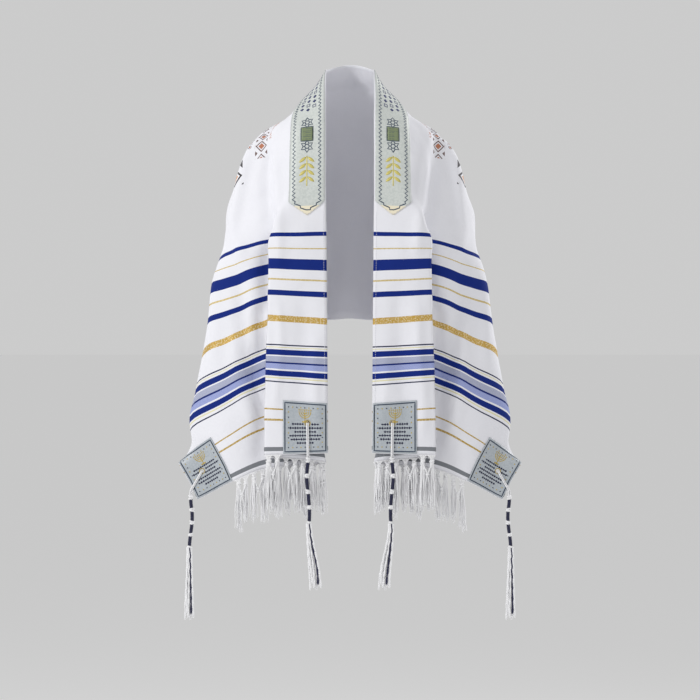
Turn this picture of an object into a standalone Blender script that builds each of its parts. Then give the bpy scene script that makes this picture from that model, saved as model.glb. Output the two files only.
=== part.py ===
# Tallit prayer shawl in its worn, hollow form: striped cloth, neckband, corner patches, corner tassels, fringes.
# Metres, +Z up, front towards -Y. The origin is the nape, where the wearer's neck carries the neck edge.

import bisect
import math

import bmesh
import bpy
from mathutils import Vector

# Driving dimensions
MM = 0.001
HALF_LENGTH = 920 * MM
WIDTH = 560 * MM
CLOTH_THICK = 1.5 * MM
TRIM_THICK = 1.0 * MM
SEAM_GAP = 0.35 * MM

BAND_START = 2 * MM
BAND_END = 78 * MM
BAND_HALF_LENGTH = 396 * MM
BAND_TIP = 27 * MM
BAND_TIP_NARROW = 0.9
BAND_CLEAR = 4 * MM
BAND_EASE = 0.45 * MM
BAND_END_EASE = 1.2 * MM

PATCH_ALONG = 102 * MM
PATCH_ACROSS = 92 * MM
PATCH_INSET = 1.5 * MM
PATCH_MARGIN = 3 * MM
PATCH_EASE = {"inner": 0.0, "outer": 0.6 * MM}
EYELET_RADIUS = 4.5 * MM
EYELET_SIDES = 12
EYELET_REACH = 12 * MM

PLEAT_LAYER = 14 * MM
PLEAT_START = 14 * MM
FOLD_NOSE = 7 * MM

# Where no pleat is: shares of the way from the front's edge to the arm's turn
PLAIN_TUCK = 0.15
PLAIN_SIDE = 0.4
SIDE_STEP = 2 * MM
ARM_SHARE = 0.55
ARM_BULGE = 14 * MM

# Rounding of the turn from the arm to the back: its share of the run, and the run at which it starts and is full
TURN_BULGE = 0.22
TURN_START = 60 * MM
TURN_FULL = 160 * MM

# The neck edge from the nape round the neck and down the front, in millimetres
NECK_RADIUS_X = 50
NECK_RADIUS_Y = 52
NECK_DROP = 15
NECK_ARC_STEPS = 6
NECK_FRONT = (
    # x, y, z
    (51, -78, -35),
    (51, -105, -75),
    (50, -130, -130),
    (50, -150, -200),
    (50, -161, -270),
    (49, -166, -360),
    (47, -168, -600),
    (45, -168, -860),
)

# One row for each section of the half shawl, in millimetres.
# along: distance on the neck edge from the nape. edge: outer edge of the front panel. tuck: depth of the pleat
# behind it. drop: how much lower the side part comes out. roll: the turn round the arm or over the shoulder.
# lap: the fold edge at the back. turn: the fold under it. hem: the long outer edge or just past it.
SECTIONS = (
    # along, edge x, y, z, tuck, drop, roll x, y, z, lap x, y, z, turn x, y, z, hem x, y, z
    (0, 0, 44, -52, 0, 0, 0, 66, -125, 0, 74, -240, 0, 70, -400, 0, 62, -560),
    (40, 46, 28, -54, 0, 0, 44, 58, -128, 42, 70, -242, 40, 67, -400, 40, 60, -560),
    (82, 74, -2, -62, 0, 0, 84, 34, -122, 84, 56, -236, 83, 58, -400, 82, 52, -560),
    (115, 98, -38, -78, 0, 0, 118, 10, -122, 118, 46, -232, 116, 50, -400, 115, 44, -560),
    (163, 114, -82, -104, 0, 0, 158, -40, -130, 168, 28, -215, 165, 38, -380, 163, 36, -560),
    (223, 112, -118, -138, 0, 0, 200, -55, -160, 212, 10, -235, 210, 18, -390, 214, 16, -560),
    (296, 115, -142, -204, 0, 0, 236, -60, -243, 196, 44, -300, 212, 26, -345, 232, 6, -520),
    (367, 118, -156, -274, 0, 0, 254, -62, -318, 172, 66, -400, 222, 38, -478, 234, 34, -520),
    (457, 167, -160, -363, 14, 9, 269, -62, -407, 162, 70, -490, 190, 50, -540, 200, 46, -560),
    (530, 169, -160, -428, 30, 9, 286, -62, -481, 152, 68, -575, 160, 52, -600, 166, 46, -615),
    (590, 170, -160, -487, 42, 10, 299, -64, -552, 180, 42, -650, 172, 46, -660, 160, 48, -675),
    (646, 171, -160, -540, 55, 9, 311, -66, -617, 235, 20, -700, 222, 28, -713, 205, 34, -730),
    (714, 174, -161, -611, 70, 9, 326, -68, -697, 280, -20, -760, 270, -12, -774, 255, -4, -790),
    (760, 175, -161, -654, 80, 15, 338, -72, -755, 318, -47, -796, 310, -40, -812, 300, -32, -828),
    (827, 177, -161, -721, 100, 17, 318, -88, -822, 345, -84, -839, 352, -83, -843, 362, -82, -849),
    (874, 178, -161, -777, 116, 22, 300, -98, -862, 322, -94, -875, 332, -92, -880, 342, -90, -886),
    (920, 178, -161, -827, 128, 29, 283, -103, -903, 303, -99, -914, 313, -97, -919, 324, -95, -925),
)
FRONT_BULGE = 6

# Mesh lines: how many cells each stretch of a section gets
CELLS_ALONG = 34
CELLS_ACROSS = (3, 2, 1, 2, 1, 5, 5, 1, 4)
CURVE_STEPS = 14
PANEL_EDGE_MIN = 104 * MM
TUCK_STRETCH_MIN = 30 * MM
ROLL_MIN = 178 * MM
ROLL_MAX = 490 * MM
LAP_MAX = 530 * MM

# Corner eyelets: distance from the nape along the cloth, and from the neck edge across it
EYELETS = {
    "inner": (858 * MM, 42 * MM),
    "outer": (869 * MM, 524 * MM),
}

# Corner tassels: cord, head and strands
CORD_RADIUS = 1.2 * MM
CORD_CLEAR = 1.1 * MM
HEAD_PROFILE = (
    # distance below the top of the head, radius, in millimetres
    (0, 2.4), (3, 5.2), (9, 5.2), (12, 3.6), (34, 3.6), (37, 5.2), (43, 5.2), (46, 3.6),
    (68, 3.6), (71, 5.2), (77, 5.2), (80, 3.6), (128, 3.6), (131, 5.2), (137, 5.2), (141, 4.2),
)
STRANDS = 8
STRAND_CORE = 1.8 * MM
STRAND_STEPS = 3
STRAND_SPREAD = 6 * MM
STRAND_TAPER = 0.95
STRAND_LENGTHS = (1.0, 0.85, 0.9, 0.95)
CORD_BEYOND = 5 * MM
CORD_LEAN = 1.6
CORD_TURN = 0.08
CORD_OVERLAP = 3 * MM
CORD_SPREAD = CORD_RADIUS + 0.4 * MM
OUTER_RIM_SHIFT = 24 * MM
WELD = 0.01 * MM
TASSELS = {
    # drop of the head's top below the eyelet, head length scale, strand length, sway of the strands
    "inner": (70 * MM, 1.0, 136 * MM, -14 * MM),
    "outer": (50 * MM, 0.8, 150 * MM, 0 * MM),
}

# Knotted fringe on each short edge
FRINGE_START = 97 * MM
FRINGE_END = 463 * MM
FRINGE_STRANDS = 40
FRINGE_STRIP = 5 * MM
FRINGE_GAP = 1.2 * MM
FRINGE_LENGTH = 118 * MM
FRINGE_STEPS = 3
FRINGE_SWAY = 2 * MM
FRINGE_TAPER = 0.85
FRINGE_VARY = 0.1
FRINGE_DEPTH_SHARE = 0.4
FRINGE_INSIDE = 10 * MM
# turn from one strand to the next of the uneven lengths, sideways sway and forward sway, in radians
FRINGE_TURNS = (2.4, 1.7, 2.3)


# Small helpers

def lerp(start, end, part):
    return start + (end - start) * part


def clamp(value, low, high):
    return max(low, min(high, value))


def ease(part):
    part = clamp(part, 0.0, 1.0)
    return part * part * (3.0 - 2.0 * part)


def centripetal(points, steps):
    """Smooth curve through the points, with even steps in each span."""
    ends = [points[0] * 2 - points[1]] + list(points) + [points[-1] * 2 - points[-2]]
    curve = []
    for index in range(1, len(ends) - 2):
        before, start, end, after = ends[index - 1:index + 3]
        knots = [0.0]
        for near, far in ((before, start), (start, end), (end, after)):
            knots.append(knots[-1] + max((far - near).length, 1e-6) ** 0.5)
        for step in range(steps):
            time = lerp(knots[1], knots[2], step / steps)
            first = before.lerp(start, (time - knots[0]) / (knots[1] - knots[0]))
            second = start.lerp(end, (time - knots[1]) / (knots[2] - knots[1]))
            third = end.lerp(after, (time - knots[2]) / (knots[3] - knots[2]))
            low = first.lerp(second, (time - knots[0]) / (knots[2] - knots[0]))
            high = second.lerp(third, (time - knots[1]) / (knots[3] - knots[1]))
            curve.append(low.lerp(high, (time - knots[1]) / (knots[2] - knots[1])))
    curve.append(points[-1].copy())
    return curve


class Path:
    """A curve that is read by its length."""

    def __init__(self, curve):
        self.curve = curve
        self.lengths = [0.0]
        for near, far in zip(curve, curve[1:]):
            self.lengths.append(self.lengths[-1] + (far - near).length)

    def at(self, length):
        length = clamp(length, 0.0, self.lengths[-1])
        index = clamp(bisect.bisect_right(self.lengths, length) - 1, 0, len(self.curve) - 2)
        span = self.lengths[index + 1] - self.lengths[index]
        part = (length - self.lengths[index]) / span if span else 0.0
        return self.curve[index].lerp(self.curve[index + 1], part)


# Sections of the draped cloth

def neck_path():
    points = []
    for step in range(NECK_ARC_STEPS + 1):
        angle = math.pi / 2 * step / NECK_ARC_STEPS
        points.append(Vector((
            NECK_RADIUS_X * math.sin(angle),
            -NECK_RADIUS_Y * (1 - math.cos(angle)),
            -NECK_DROP * math.sin(angle) ** 2,
        )) * MM)
    points += [Vector(row) * MM for row in NECK_FRONT]
    return Path(centripetal(points, CURVE_STEPS))


NECK = neck_path()
MIRRORED_COLUMNS = (1, 6, 9, 12, 15)


def table_rows():
    """The section rows with two mirrored ones before the nape, so that the back runs smoothly through it."""
    rows = []
    for row in reversed(SECTIONS[1:3]):
        mirrored = list(row)
        mirrored[0] = -row[0]
        for column in MIRRORED_COLUMNS:
            mirrored[column] = -row[column]
        rows.append(mirrored)
    return rows + [list(row) for row in SECTIONS]


ROWS = table_rows()


def section_values(along):
    """Table columns at a distance along the neck edge, read smoothly between the rows."""
    position = along / MM
    index = clamp(bisect.bisect_right([row[0] for row in ROWS], position) - 1, 1, len(ROWS) - 2)
    low, high = ROWS[index], ROWS[index + 1]
    before = ROWS[index - 1]
    after = ROWS[index + 2] if index + 2 < len(ROWS) else None
    span = high[0] - low[0]
    part = (position - low[0]) / span
    values = []
    for column in range(1, len(low)):
        rise = (high[column] - low[column]) / span
        slope_low = lerp((low[column] - before[column]) / (low[0] - before[0]), rise, 0.5)
        slope_high = rise
        if after:
            slope_high = lerp(rise, (after[column] - high[column]) / (after[0] - high[0]), 0.5)
        values.append(
            (2 * part ** 3 - 3 * part ** 2 + 1) * low[column]
            + (part ** 3 - 2 * part ** 2 + part) * span * slope_low
            + (3 * part ** 2 - 2 * part ** 3) * high[column]
            + (part ** 3 - part ** 2) * span * slope_high
        )
    return values


class Section:
    """One section of the half shawl, from the neck edge to the long outer edge."""

    def __init__(self, along):
        values = section_values(along)
        neck = NECK.at(along)
        edge = Vector(values[0:3]) * MM
        tuck, drop = values[3] * MM, values[4] * MM
        roll, lap, turn, hem = (Vector(values[first:first + 3]) * MM for first in (5, 8, 11, 14))
        pleat = ease(tuck / PLEAT_START)
        tuck_end = edge.lerp(roll, PLAIN_TUCK).lerp(edge + Vector((-tuck, PLEAT_LAYER, -drop / 2)), pleat)
        side = edge.lerp(roll, PLAIN_SIDE).lerp(edge + Vector((SIDE_STEP, 2 * PLEAT_LAYER, -drop)), pleat)
        middle = neck.lerp(edge, 0.5) + Vector((0, -FRONT_BULGE * MM * pleat, 0))
        outward = (roll - edge).cross(Vector((0, 0, 1))).normalized()
        arm = side.lerp(roll, ARM_SHARE) + outward * ARM_BULGE * pleat
        behind = roll.lerp(lap, 0.5) + self.bulge(roll, lap)
        self.path = Path(centripetal([neck, middle, edge, tuck_end, side, arm, roll, behind, lap, turn, hem],
                                     CURVE_STEPS))
        self.edge_at = lerp(PANEL_EDGE_MIN, self.path.lengths[2 * CURVE_STEPS], pleat)
        tuck_at = self.path.lengths[3 * CURVE_STEPS]
        self.tuck_at = max(self.edge_at + TUCK_STRETCH_MIN, lerp(self.edge_at + TUCK_STRETCH_MIN, tuck_at, pleat))
        self.roll_at = clamp(self.path.lengths[6 * CURVE_STEPS], ROLL_MIN, ROLL_MAX)
        self.lap_at = clamp(self.path.lengths[8 * CURVE_STEPS], self.roll_at + 3 * FOLD_NOSE, LAP_MAX)

    @staticmethod
    def bulge(roll, lap):
        """Rounds the turn from the arm to the back, away from the arm's own line."""
        run = lap - roll
        out = Vector((-run.y, run.x, 0.0))
        if out.x < 0:
            out = -out
        return out * TURN_BULGE * ease((run.length - TURN_START) / (TURN_FULL - TURN_START))

    def lines(self):
        """Distances from the neck edge at which the cloth has a mesh line."""
        anchors = (
            0.0, BAND_END, self.edge_at - FOLD_NOSE, self.edge_at + FOLD_NOSE, self.tuck_at - FOLD_NOSE,
            self.tuck_at + FOLD_NOSE, self.roll_at, self.lap_at - FOLD_NOSE, self.lap_at + FOLD_NOSE, WIDTH,
        )
        lines = [anchors[0]]
        for start, end, cells in zip(anchors, anchors[1:], CELLS_ACROSS):
            lines += [lerp(start, end, (cell + 1) / cells) for cell in range(cells)]
        return lines


# The cloth as a grid of points, from one short edge round the nape to the other

def build_grid():
    half = []
    for cell in range(CELLS_ALONG + 1):
        along = HALF_LENGTH * cell / CELLS_ALONG
        section = Section(along)
        lines = section.lines()
        half.append((along, lines, [section.path.at(across) for across in lines]))
    other = []
    for along, lines, points in reversed(half[1:]):
        other.append((-along, lines, [Vector((-point.x, point.y, point.z)) for point in points]))
    return other + half


GRID = build_grid()
POINTS = [row[2] for row in GRID]


def grid_normals():
    """Outward directions at the grid's points, from their neighbours."""
    normals = []
    for row in range(len(GRID)):
        low, high = GRID[max(row - 1, 0)][2], GRID[min(row + 1, len(GRID) - 1)][2]
        points = GRID[row][2]
        line = []
        for column in range(len(points)):
            across = points[min(column + 1, len(points) - 1)] - points[max(column - 1, 0)]
            line.append((high[column] - low[column]).cross(across).normalized())
        normals.append(line)
    return normals


NORMALS = grid_normals()


def grid_place(along):
    """The grid row before this distance, how far past it, and the mesh lines there."""
    step = HALF_LENGTH / CELLS_ALONG
    row = int(clamp(math.floor((along + HALF_LENGTH) / step + 1e-6), 0, len(GRID) - 2))
    part = (along - GRID[row][0]) / step
    return row, part, [lerp(low, high, part) for low, high in zip(GRID[row][1], GRID[row + 1][1])]


def on_cloth(along, across, out=0.0):
    """Point of the cloth's own mesh at these distances, moved outward."""
    row, part, lines = grid_place(along)
    column = clamp(bisect.bisect_right(lines, across + 1e-7) - 1, 0, len(lines) - 2)
    side = (across - lines[column]) / (lines[column + 1] - lines[column])

    def blend(table):
        near = table[row][column].lerp(table[row][column + 1], side)
        far = table[row + 1][column].lerp(table[row + 1][column + 1], side)
        return near.lerp(far, part)

    return blend(POINTS) + blend(NORMALS).normalized() * out


# Objects

def clear_scene():
    for item in list(bpy.data.objects):
        bpy.data.objects.remove(item, do_unlink=True)


def collection(name, hidden=False):
    group = bpy.data.collections.new(name)
    bpy.context.scene.collection.children.link(group)
    group.hide_render = hidden
    return group


def material(name, colour, roughness, metallic=0.0):
    item = bpy.data.materials.new(name)
    item.use_nodes = True
    shader = item.node_tree.nodes["Principled BSDF"]
    shader.inputs["Base Color"].default_value = (*colour, 1.0)
    shader.inputs["Roughness"].default_value = roughness
    shader.inputs["Metallic"].default_value = metallic
    item.diffuse_color = (*colour, 1.0)
    return item


def add_object(name, mesh, group, finish):
    item = bpy.data.objects.new(name, mesh)
    if finish:
        mesh.materials.append(finish)
    group.objects.link(item)
    return item


def sheet_mesh(name, rows):
    """A smooth open surface through rows of points, each with the same number of points."""
    shape = bmesh.new()
    lines = [[shape.verts.new(point) for point in row] for row in rows]
    for near, far in zip(lines, lines[1:]):
        for column in range(len(near) - 1):
            shape.faces.new((near[column], far[column], far[column + 1]))
            shape.faces.new((near[column], far[column + 1], near[column + 1]))
    mesh = bpy.data.meshes.new(name)
    shape.to_mesh(mesh)
    shape.free()
    mesh.shade_smooth()
    return mesh


def add_sheet(name, rows, thick, group, finish):
    item = add_object(name, sheet_mesh(name, rows), group, finish)
    wall = item.modifiers.new("wall", "SOLIDIFY")
    wall.thickness = thick
    wall.offset = 0.0
    return item


def eyelet_points(side, kind):
    along, across = EYELETS[kind]
    return (on_cloth(side * along, across, -EYELET_REACH), on_cloth(side * along, across, EYELET_REACH))


def add_eyelet_cutters(group):
    """One cutter object with a pin through each corner's eyelet."""
    shape = bmesh.new()
    for side in (-1, 1):
        for kind in EYELETS:
            inner, outer = eyelet_points(side, kind)
            pin = bmesh.ops.create_cone(shape, cap_ends=True, segments=EYELET_SIDES, radius1=EYELET_RADIUS,
                                        radius2=EYELET_RADIUS, depth=(outer - inner).length)
            turn = (outer - inner).to_track_quat("Z", "Y")
            for vert in pin["verts"]:
                vert.co = turn @ vert.co + (inner + outer) / 2
    mesh = bpy.data.meshes.new("eyelet_pins")
    shape.to_mesh(mesh)
    shape.free()
    cutter = add_object("eyelet_pins", mesh, group, None)
    cutter.display_type = "WIRE"
    cutter.hide_render = True
    return cutter


def cut(item, cutter):
    hole = item.modifiers.new("eyelets", "BOOLEAN")
    hole.operation = "DIFFERENCE"
    hole.solver = "EXACT"
    hole.object = cutter


def add_cloth(group, finish, cutter):
    item = add_sheet("shawl_cloth", [points for _, _, points in GRID], CLOTH_THICK, group, finish)
    cut(item, cutter)
    return item


def trim_lift():
    return CLOTH_THICK / 2 + SEAM_GAP + TRIM_THICK / 2


def add_band(group, finish):
    """The neckband on the cloth's own mesh lines, with a point at each end."""
    stations = [along for along, _, _ in GRID if abs(along) < BAND_HALF_LENGTH - BAND_CLEAR]
    stations = [-BAND_HALF_LENGTH] + stations + [BAND_HALF_LENGTH]
    tip = BAND_HALF_LENGTH + BAND_TIP
    stations = [-tip] + stations + [tip]
    middle = (BAND_START + BAND_END) / 2
    cells = CELLS_ACROSS[0]
    rows = []
    for along in stations:
        narrow = BAND_TIP_NARROW if abs(along) > BAND_HALF_LENGTH + WELD else 0.0
        lift = trim_lift() + (BAND_END_EASE if abs(along) >= BAND_HALF_LENGTH else BAND_EASE)
        row = []
        for cell in range(cells + 1):
            across = clamp(BAND_END * cell / cells, BAND_START, BAND_END)
            row.append(on_cloth(along, lerp(across, middle, narrow), lift))
        rows.append(row)
    return add_sheet("neckband", rows, TRIM_THICK, group, finish)


def patch_stations(first, last, lines):
    """The patch's borders with the cloth's own mesh lines between them."""
    inside = [line for line in lines if first + PATCH_MARGIN < line < last - PATCH_MARGIN]
    return [first] + inside + [last]


def add_patch(side, kind, group, finish, cutter):
    last = HALF_LENGTH - PATCH_INSET
    stations = patch_stations(last - PATCH_ALONG, last, [row[0] for row in GRID])
    start = PATCH_INSET if kind == "inner" else WIDTH - PATCH_INSET - PATCH_ACROSS
    end = start + PATCH_ACROSS
    every = [grid_place(along)[2] for along in stations]
    columns = [column for column in range(len(every[0]))
               if all(start + PATCH_MARGIN < lines[column] < end - PATCH_MARGIN for lines in every)]
    rows = []
    for along, lines in zip(stations, every):
        across_lines = [start] + [lines[column] for column in columns] + [end]
        rows.append([on_cloth(side * along, across, trim_lift() + PATCH_EASE[kind]) for across in across_lines])
    if side < 0:
        rows.reverse()
    name = "corner_patch_%s_%s" % (kind, "left" if side > 0 else "right")
    item = add_sheet(name, rows, TRIM_THICK, group, finish)
    cut(item, cutter)
    return item


def tube_mesh(points, radius):
    """A closed cord along the points, as a mesh with welded caps."""
    curve = bpy.data.curves.new("cord", "CURVE")
    curve.dimensions = "3D"
    curve.bevel_depth = radius
    curve.bevel_resolution = 1
    curve.use_fill_caps = True
    spline = curve.splines.new("POLY")
    spline.points.add(len(points) - 1)
    for control, point in zip(spline.points, points):
        control.co = (*point, 1.0)
    item = bpy.data.objects.new("cord", curve)
    bpy.context.scene.collection.objects.link(item)
    graph = bpy.context.evaluated_depsgraph_get()
    mesh = bpy.data.meshes.new_from_object(item.evaluated_get(graph))
    bpy.data.objects.remove(item, do_unlink=True)
    shape = bmesh.new()
    shape.from_mesh(mesh)
    bmesh.ops.remove_doubles(shape, verts=shape.verts, dist=WELD)
    bmesh.ops.recalc_face_normals(shape, faces=shape.faces)
    shape.to_mesh(mesh)
    shape.free()
    return mesh


def head_shape(profile, centre):
    """A closed turned head below a centre point, with a ring of small faces underneath for the strands."""
    sides = 2 * STRANDS
    shape = bmesh.new()
    rings = []
    for below, radius in profile + [(profile[-1][0], STRAND_CORE)]:
        ring = []
        for side in range(sides):
            angle = 2 * math.pi * side / sides
            ring.append(shape.verts.new(centre + Vector((
                radius * math.cos(angle), radius * math.sin(angle), -below))))
        rings.append(ring)
    roots = []
    for upper, lower in zip(rings, rings[1:]):
        roots = []
        for side in range(sides):
            after = (side + 1) % sides
            roots.append(shape.faces.new((upper[side], lower[side], lower[after], upper[after])))
    shape.faces.new(rings[0])
    shape.faces.new(list(reversed(rings[-1])))
    return shape, roots[::2]


def grow_strand(shape, face, length, steps, shift, shrink):
    """Draws one strand down from a face, in steps that narrow and drift sideways."""
    for step in range(steps):
        face = bmesh.ops.extrude_discrete_faces(shape, faces=[face])["faces"][0]
        centre = face.calc_center_median()
        for vert in face.verts:
            vert.co = centre + (vert.co - centre) * shrink + shift * (ease((step + 1) / steps) - ease(step / steps))
            vert.co.z -= length / steps


def add_tassel(side, kind, group, helpers, finish):
    """A corner tassel: a loop through the eyelet and over the edge, a wound head and loose strands."""
    drop, scale, length, sway = TASSELS[kind]
    along, across = EYELETS[kind]
    lift = CLOTH_THICK / 2 + SEAM_GAP + TRIM_THICK + CORD_CLEAR + CORD_RADIUS
    back_lift = CLOTH_THICK / 2 + CORD_CLEAR + CORD_RADIUS
    hole = on_cloth(side * along, across)
    if kind == "inner":
        rim = on_cloth(side * HALF_LENGTH, across)
        rim_front = on_cloth(side * HALF_LENGTH, across, lift)
        rim_back = on_cloth(side * HALF_LENGTH, across, -back_lift)
    else:
        rim_along = along + OUTER_RIM_SHIFT
        rim = on_cloth(side * rim_along, WIDTH)
        rim_front = on_cloth(side * rim_along, WIDTH, lift)
        rim_back = on_cloth(side * rim_along, WIDTH, -back_lift)
    beyond = (rim - hole).normalized() * CORD_BEYOND
    front = on_cloth(side * along, across, lift)
    back = on_cloth(side * along, across, -back_lift)
    top = Vector((rim.x + beyond.x * CORD_LEAN, rim.y, hole.z - drop))
    down = Vector((0, 0, -CORD_OVERLAP))
    spread = Vector((0, CORD_SPREAD, 0))
    route = [top + down - spread, top - spread - down, rim_front + beyond, rim_front.lerp(front, 0.5),
             front + (rim_front - front) * CORD_TURN, front.lerp(hole, 0.5), hole, back.lerp(hole, 0.5),
             back + (rim_back - back) * CORD_TURN, rim_back.lerp(back, 0.5), rim_back + beyond,
             top + spread - down, top + down + spread]
    loop = tube_mesh(centripetal(route, 2), CORD_RADIUS)
    profile = [(below * MM * scale, radius * MM) for below, radius in HEAD_PROFILE]
    shape, roots = head_shape(profile, top)
    for number, root in enumerate(roots):
        angle = 2 * math.pi * (2 * number + 0.5) / (2 * STRANDS)
        out = Vector((math.cos(angle), math.sin(angle), 0)) * STRAND_SPREAD
        reach = length * STRAND_LENGTHS[number % len(STRAND_LENGTHS)]
        grow_strand(shape, root, reach, STRAND_STEPS, out + Vector((side * sway, 0, 0)), STRAND_TAPER)
    bmesh.ops.recalc_face_normals(shape, faces=shape.faces)
    name = "corner_tassel_%s_%s" % (kind, "left" if side > 0 else "right")
    mesh = bpy.data.meshes.new(name)
    shape.to_mesh(mesh)
    shape.free()
    cord = add_object(name + "_loop", loop, helpers, None)
    cord.display_type = "WIRE"
    cord.hide_render = True
    item = add_object(name, mesh, group, finish)
    union = item.modifiers.new("loop", "BOOLEAN")
    union.operation = "UNION"
    union.solver = "EXACT"
    union.object = cord
    return item


def add_fringe(side, group, finish):
    """A narrow strip along the short edge with strands drawn down from it."""
    cells = 2 * FRINGE_STRANDS + 1
    length_turn, side_turn, depth_turn = FRINGE_TURNS
    shape = bmesh.new()
    rings = []
    for line in range(cells + 1):
        across = lerp(FRINGE_START, FRINGE_END, line / cells)
        middle = on_cloth(side * HALF_LENGTH, across)
        inside = on_cloth(side * (HALF_LENGTH - FRINGE_INSIDE), across)
        down = (middle - inside).normalized()
        out = on_cloth(side * HALF_LENGTH, across, CLOTH_THICK / 2) - middle
        top, low = middle + down * FRINGE_GAP, middle + down * (FRINGE_GAP + FRINGE_STRIP)
        rings.append([shape.verts.new(point) for point in (top - out, top + out, low + out, low - out)])
    bottoms = []
    for near, far in zip(rings, rings[1:]):
        for corner in range(4):
            after = (corner + 1) % 4
            face = shape.faces.new((near[corner], near[after], far[after], far[corner]))
            if corner == 2:
                bottoms.append(face)
    shape.faces.new(rings[0])
    shape.faces.new(rings[-1])
    for number, face in enumerate(bottoms[1::2]):
        length = FRINGE_LENGTH * (1 - FRINGE_VARY * (1 - math.sin(number * length_turn)))
        sway = Vector((math.sin(number * side_turn), FRINGE_DEPTH_SHARE * math.cos(number * depth_turn), 0))
        grow_strand(shape, face, length, FRINGE_STEPS, sway * FRINGE_SWAY, FRINGE_TAPER)
    bmesh.ops.recalc_face_normals(shape, faces=shape.faces)
    name = "fringe_%s" % ("left" if side > 0 else "right")
    mesh = bpy.data.meshes.new(name)
    shape.to_mesh(mesh)
    shape.free()
    return add_object(name, mesh, group, finish)


def main():
    clear_scene()
    shawl = collection("tallit_prayer_shawl")
    helpers = collection("cutters", hidden=True)
    woven = material("woven_shawl_cloth", (0.87, 0.87, 0.9), 0.8)
    brocade = material("brocade_band", (0.66, 0.70, 0.68), 0.45)
    satin = material("corner_satin", (0.50, 0.58, 0.63), 0.35)
    cord = material("white_cord", (0.85, 0.85, 0.87), 0.75)
    cutter = add_eyelet_cutters(helpers)
    add_cloth(shawl, woven, cutter)
    add_band(shawl, brocade)
    for side in (-1, 1):
        for kind in EYELETS:
            add_patch(side, kind, shawl, satin, cutter)
            add_tassel(side, kind, shawl, helpers, cord)
        add_fringe(side, shawl, cord)


main()
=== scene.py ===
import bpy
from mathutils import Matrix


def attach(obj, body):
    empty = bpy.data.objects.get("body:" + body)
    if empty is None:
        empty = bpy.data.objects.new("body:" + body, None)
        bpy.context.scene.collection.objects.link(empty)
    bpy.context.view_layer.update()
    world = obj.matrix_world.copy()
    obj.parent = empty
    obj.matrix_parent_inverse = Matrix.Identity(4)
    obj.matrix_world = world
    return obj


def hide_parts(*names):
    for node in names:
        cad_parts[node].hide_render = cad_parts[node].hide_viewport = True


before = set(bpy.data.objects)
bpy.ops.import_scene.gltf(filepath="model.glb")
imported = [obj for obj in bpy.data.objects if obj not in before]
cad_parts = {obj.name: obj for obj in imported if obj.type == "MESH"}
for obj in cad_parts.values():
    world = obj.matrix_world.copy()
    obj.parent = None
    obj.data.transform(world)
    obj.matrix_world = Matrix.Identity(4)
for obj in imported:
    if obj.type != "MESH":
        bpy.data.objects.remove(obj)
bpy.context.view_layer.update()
print("frame loaded")

# Tallit prayer shawl, worn and hollow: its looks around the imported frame
import bisect
import math
import random

import bmesh
import bpy
from mathutils import Vector

mm = 0.001
random.seed(18)


def lerp(start, end, part):
    return start + (end - start) * part


def clamp(value, low, high):
    return max(low, min(high, value))


def ease(part):
    part = clamp(part, 0.0, 1.0)
    return part * part * (3.0 - 2.0 * part)


def toLinear(hexColour):
    channels = [int(hexColour[place:place + 2], 16) / 255 for place in (1, 3, 5)]
    return [c / 12.92 if c <= 0.04045 else ((c + 0.055) / 1.055) ** 2.4 for c in channels] + [1.0]


def addNode(tree, kind, settings=None, links=None):
    # a link is a plain value, a socket, or a node, which gives its first output in use
    node = tree.nodes.new(kind)
    for name, value in (settings or {}).items():
        setattr(node, name, value)
    for place, value in (links or {}).items():
        if isinstance(value, bpy.types.Node):
            value = next(socket for socket in value.outputs if socket.enabled)
        if isinstance(value, bpy.types.NodeSocket):
            tree.links.new(value, node.inputs[place])
        else:
            node.inputs[place].default_value = value
    return node


def newMaterial(name):
    material = bpy.data.materials.new(name)
    material.use_nodes = True
    tree = material.node_tree
    return material, tree, tree.nodes["Principled BSDF"]


def linkShader(tree, shader, values):
    # a node is linked, and a plain number is set on the shader's own socket
    for place, value in values.items():
        if isinstance(value, bpy.types.Node):
            value = next(socket for socket in value.outputs if socket.enabled)
            tree.links.new(value, shader.inputs[place])
        else:
            shader.inputs[place].default_value = value


def smoothCurve(points, steps):
    # centripetal curve through the points, even steps in each span
    ends = [points[0] * 2 - points[1]] + list(points) + [points[-1] * 2 - points[-2]]
    curve = []
    for index in range(1, len(ends) - 2):
        before, start, end, after = ends[index - 1:index + 3]
        knots = [0.0]
        for near, far in ((before, start), (start, end), (end, after)):
            knots.append(knots[-1] + max((far - near).length, 1e-6) ** 0.5)
        for step in range(steps):
            time = lerp(knots[1], knots[2], step / steps)
            first = before.lerp(start, (time - knots[0]) / (knots[1] - knots[0]))
            second = start.lerp(end, (time - knots[1]) / (knots[2] - knots[1]))
            third = end.lerp(after, (time - knots[2]) / (knots[3] - knots[2]))
            low = first.lerp(second, (time - knots[0]) / (knots[2] - knots[0]))
            high = second.lerp(third, (time - knots[1]) / (knots[3] - knots[1]))
            curve.append(low.lerp(high, (time - knots[1]) / (knots[2] - knots[1])))
    curve.append(points[-1].copy())
    return curve


class Way:
    # a curve that is read by its length

    def __init__(self, curve):
        self.curve = curve
        self.lengths = [0.0]
        for near, far in zip(curve, curve[1:]):
            self.lengths.append(self.lengths[-1] + (far - near).length)

    def at(self, length):
        length = clamp(length, 0.0, self.lengths[-1])
        index = clamp(bisect.bisect_right(self.lengths, length) - 1, 0, len(self.curve) - 2)
        span = self.lengths[index + 1] - self.lengths[index]
        part = (length - self.lengths[index]) / span if span else 0.0
        return self.curve[index].lerp(self.curve[index + 1], part)


# Camera first: the photograph looks straight at the front, 2.1 mm to a pixel

camera = {
    "millimetresPerPixel": 2.1,
    "framePixels": 700,
    "topPixel": 60.5,  # where the nape lies in the photograph
    "distance": 6.0,
    "sensor": 36.0,
}


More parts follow.
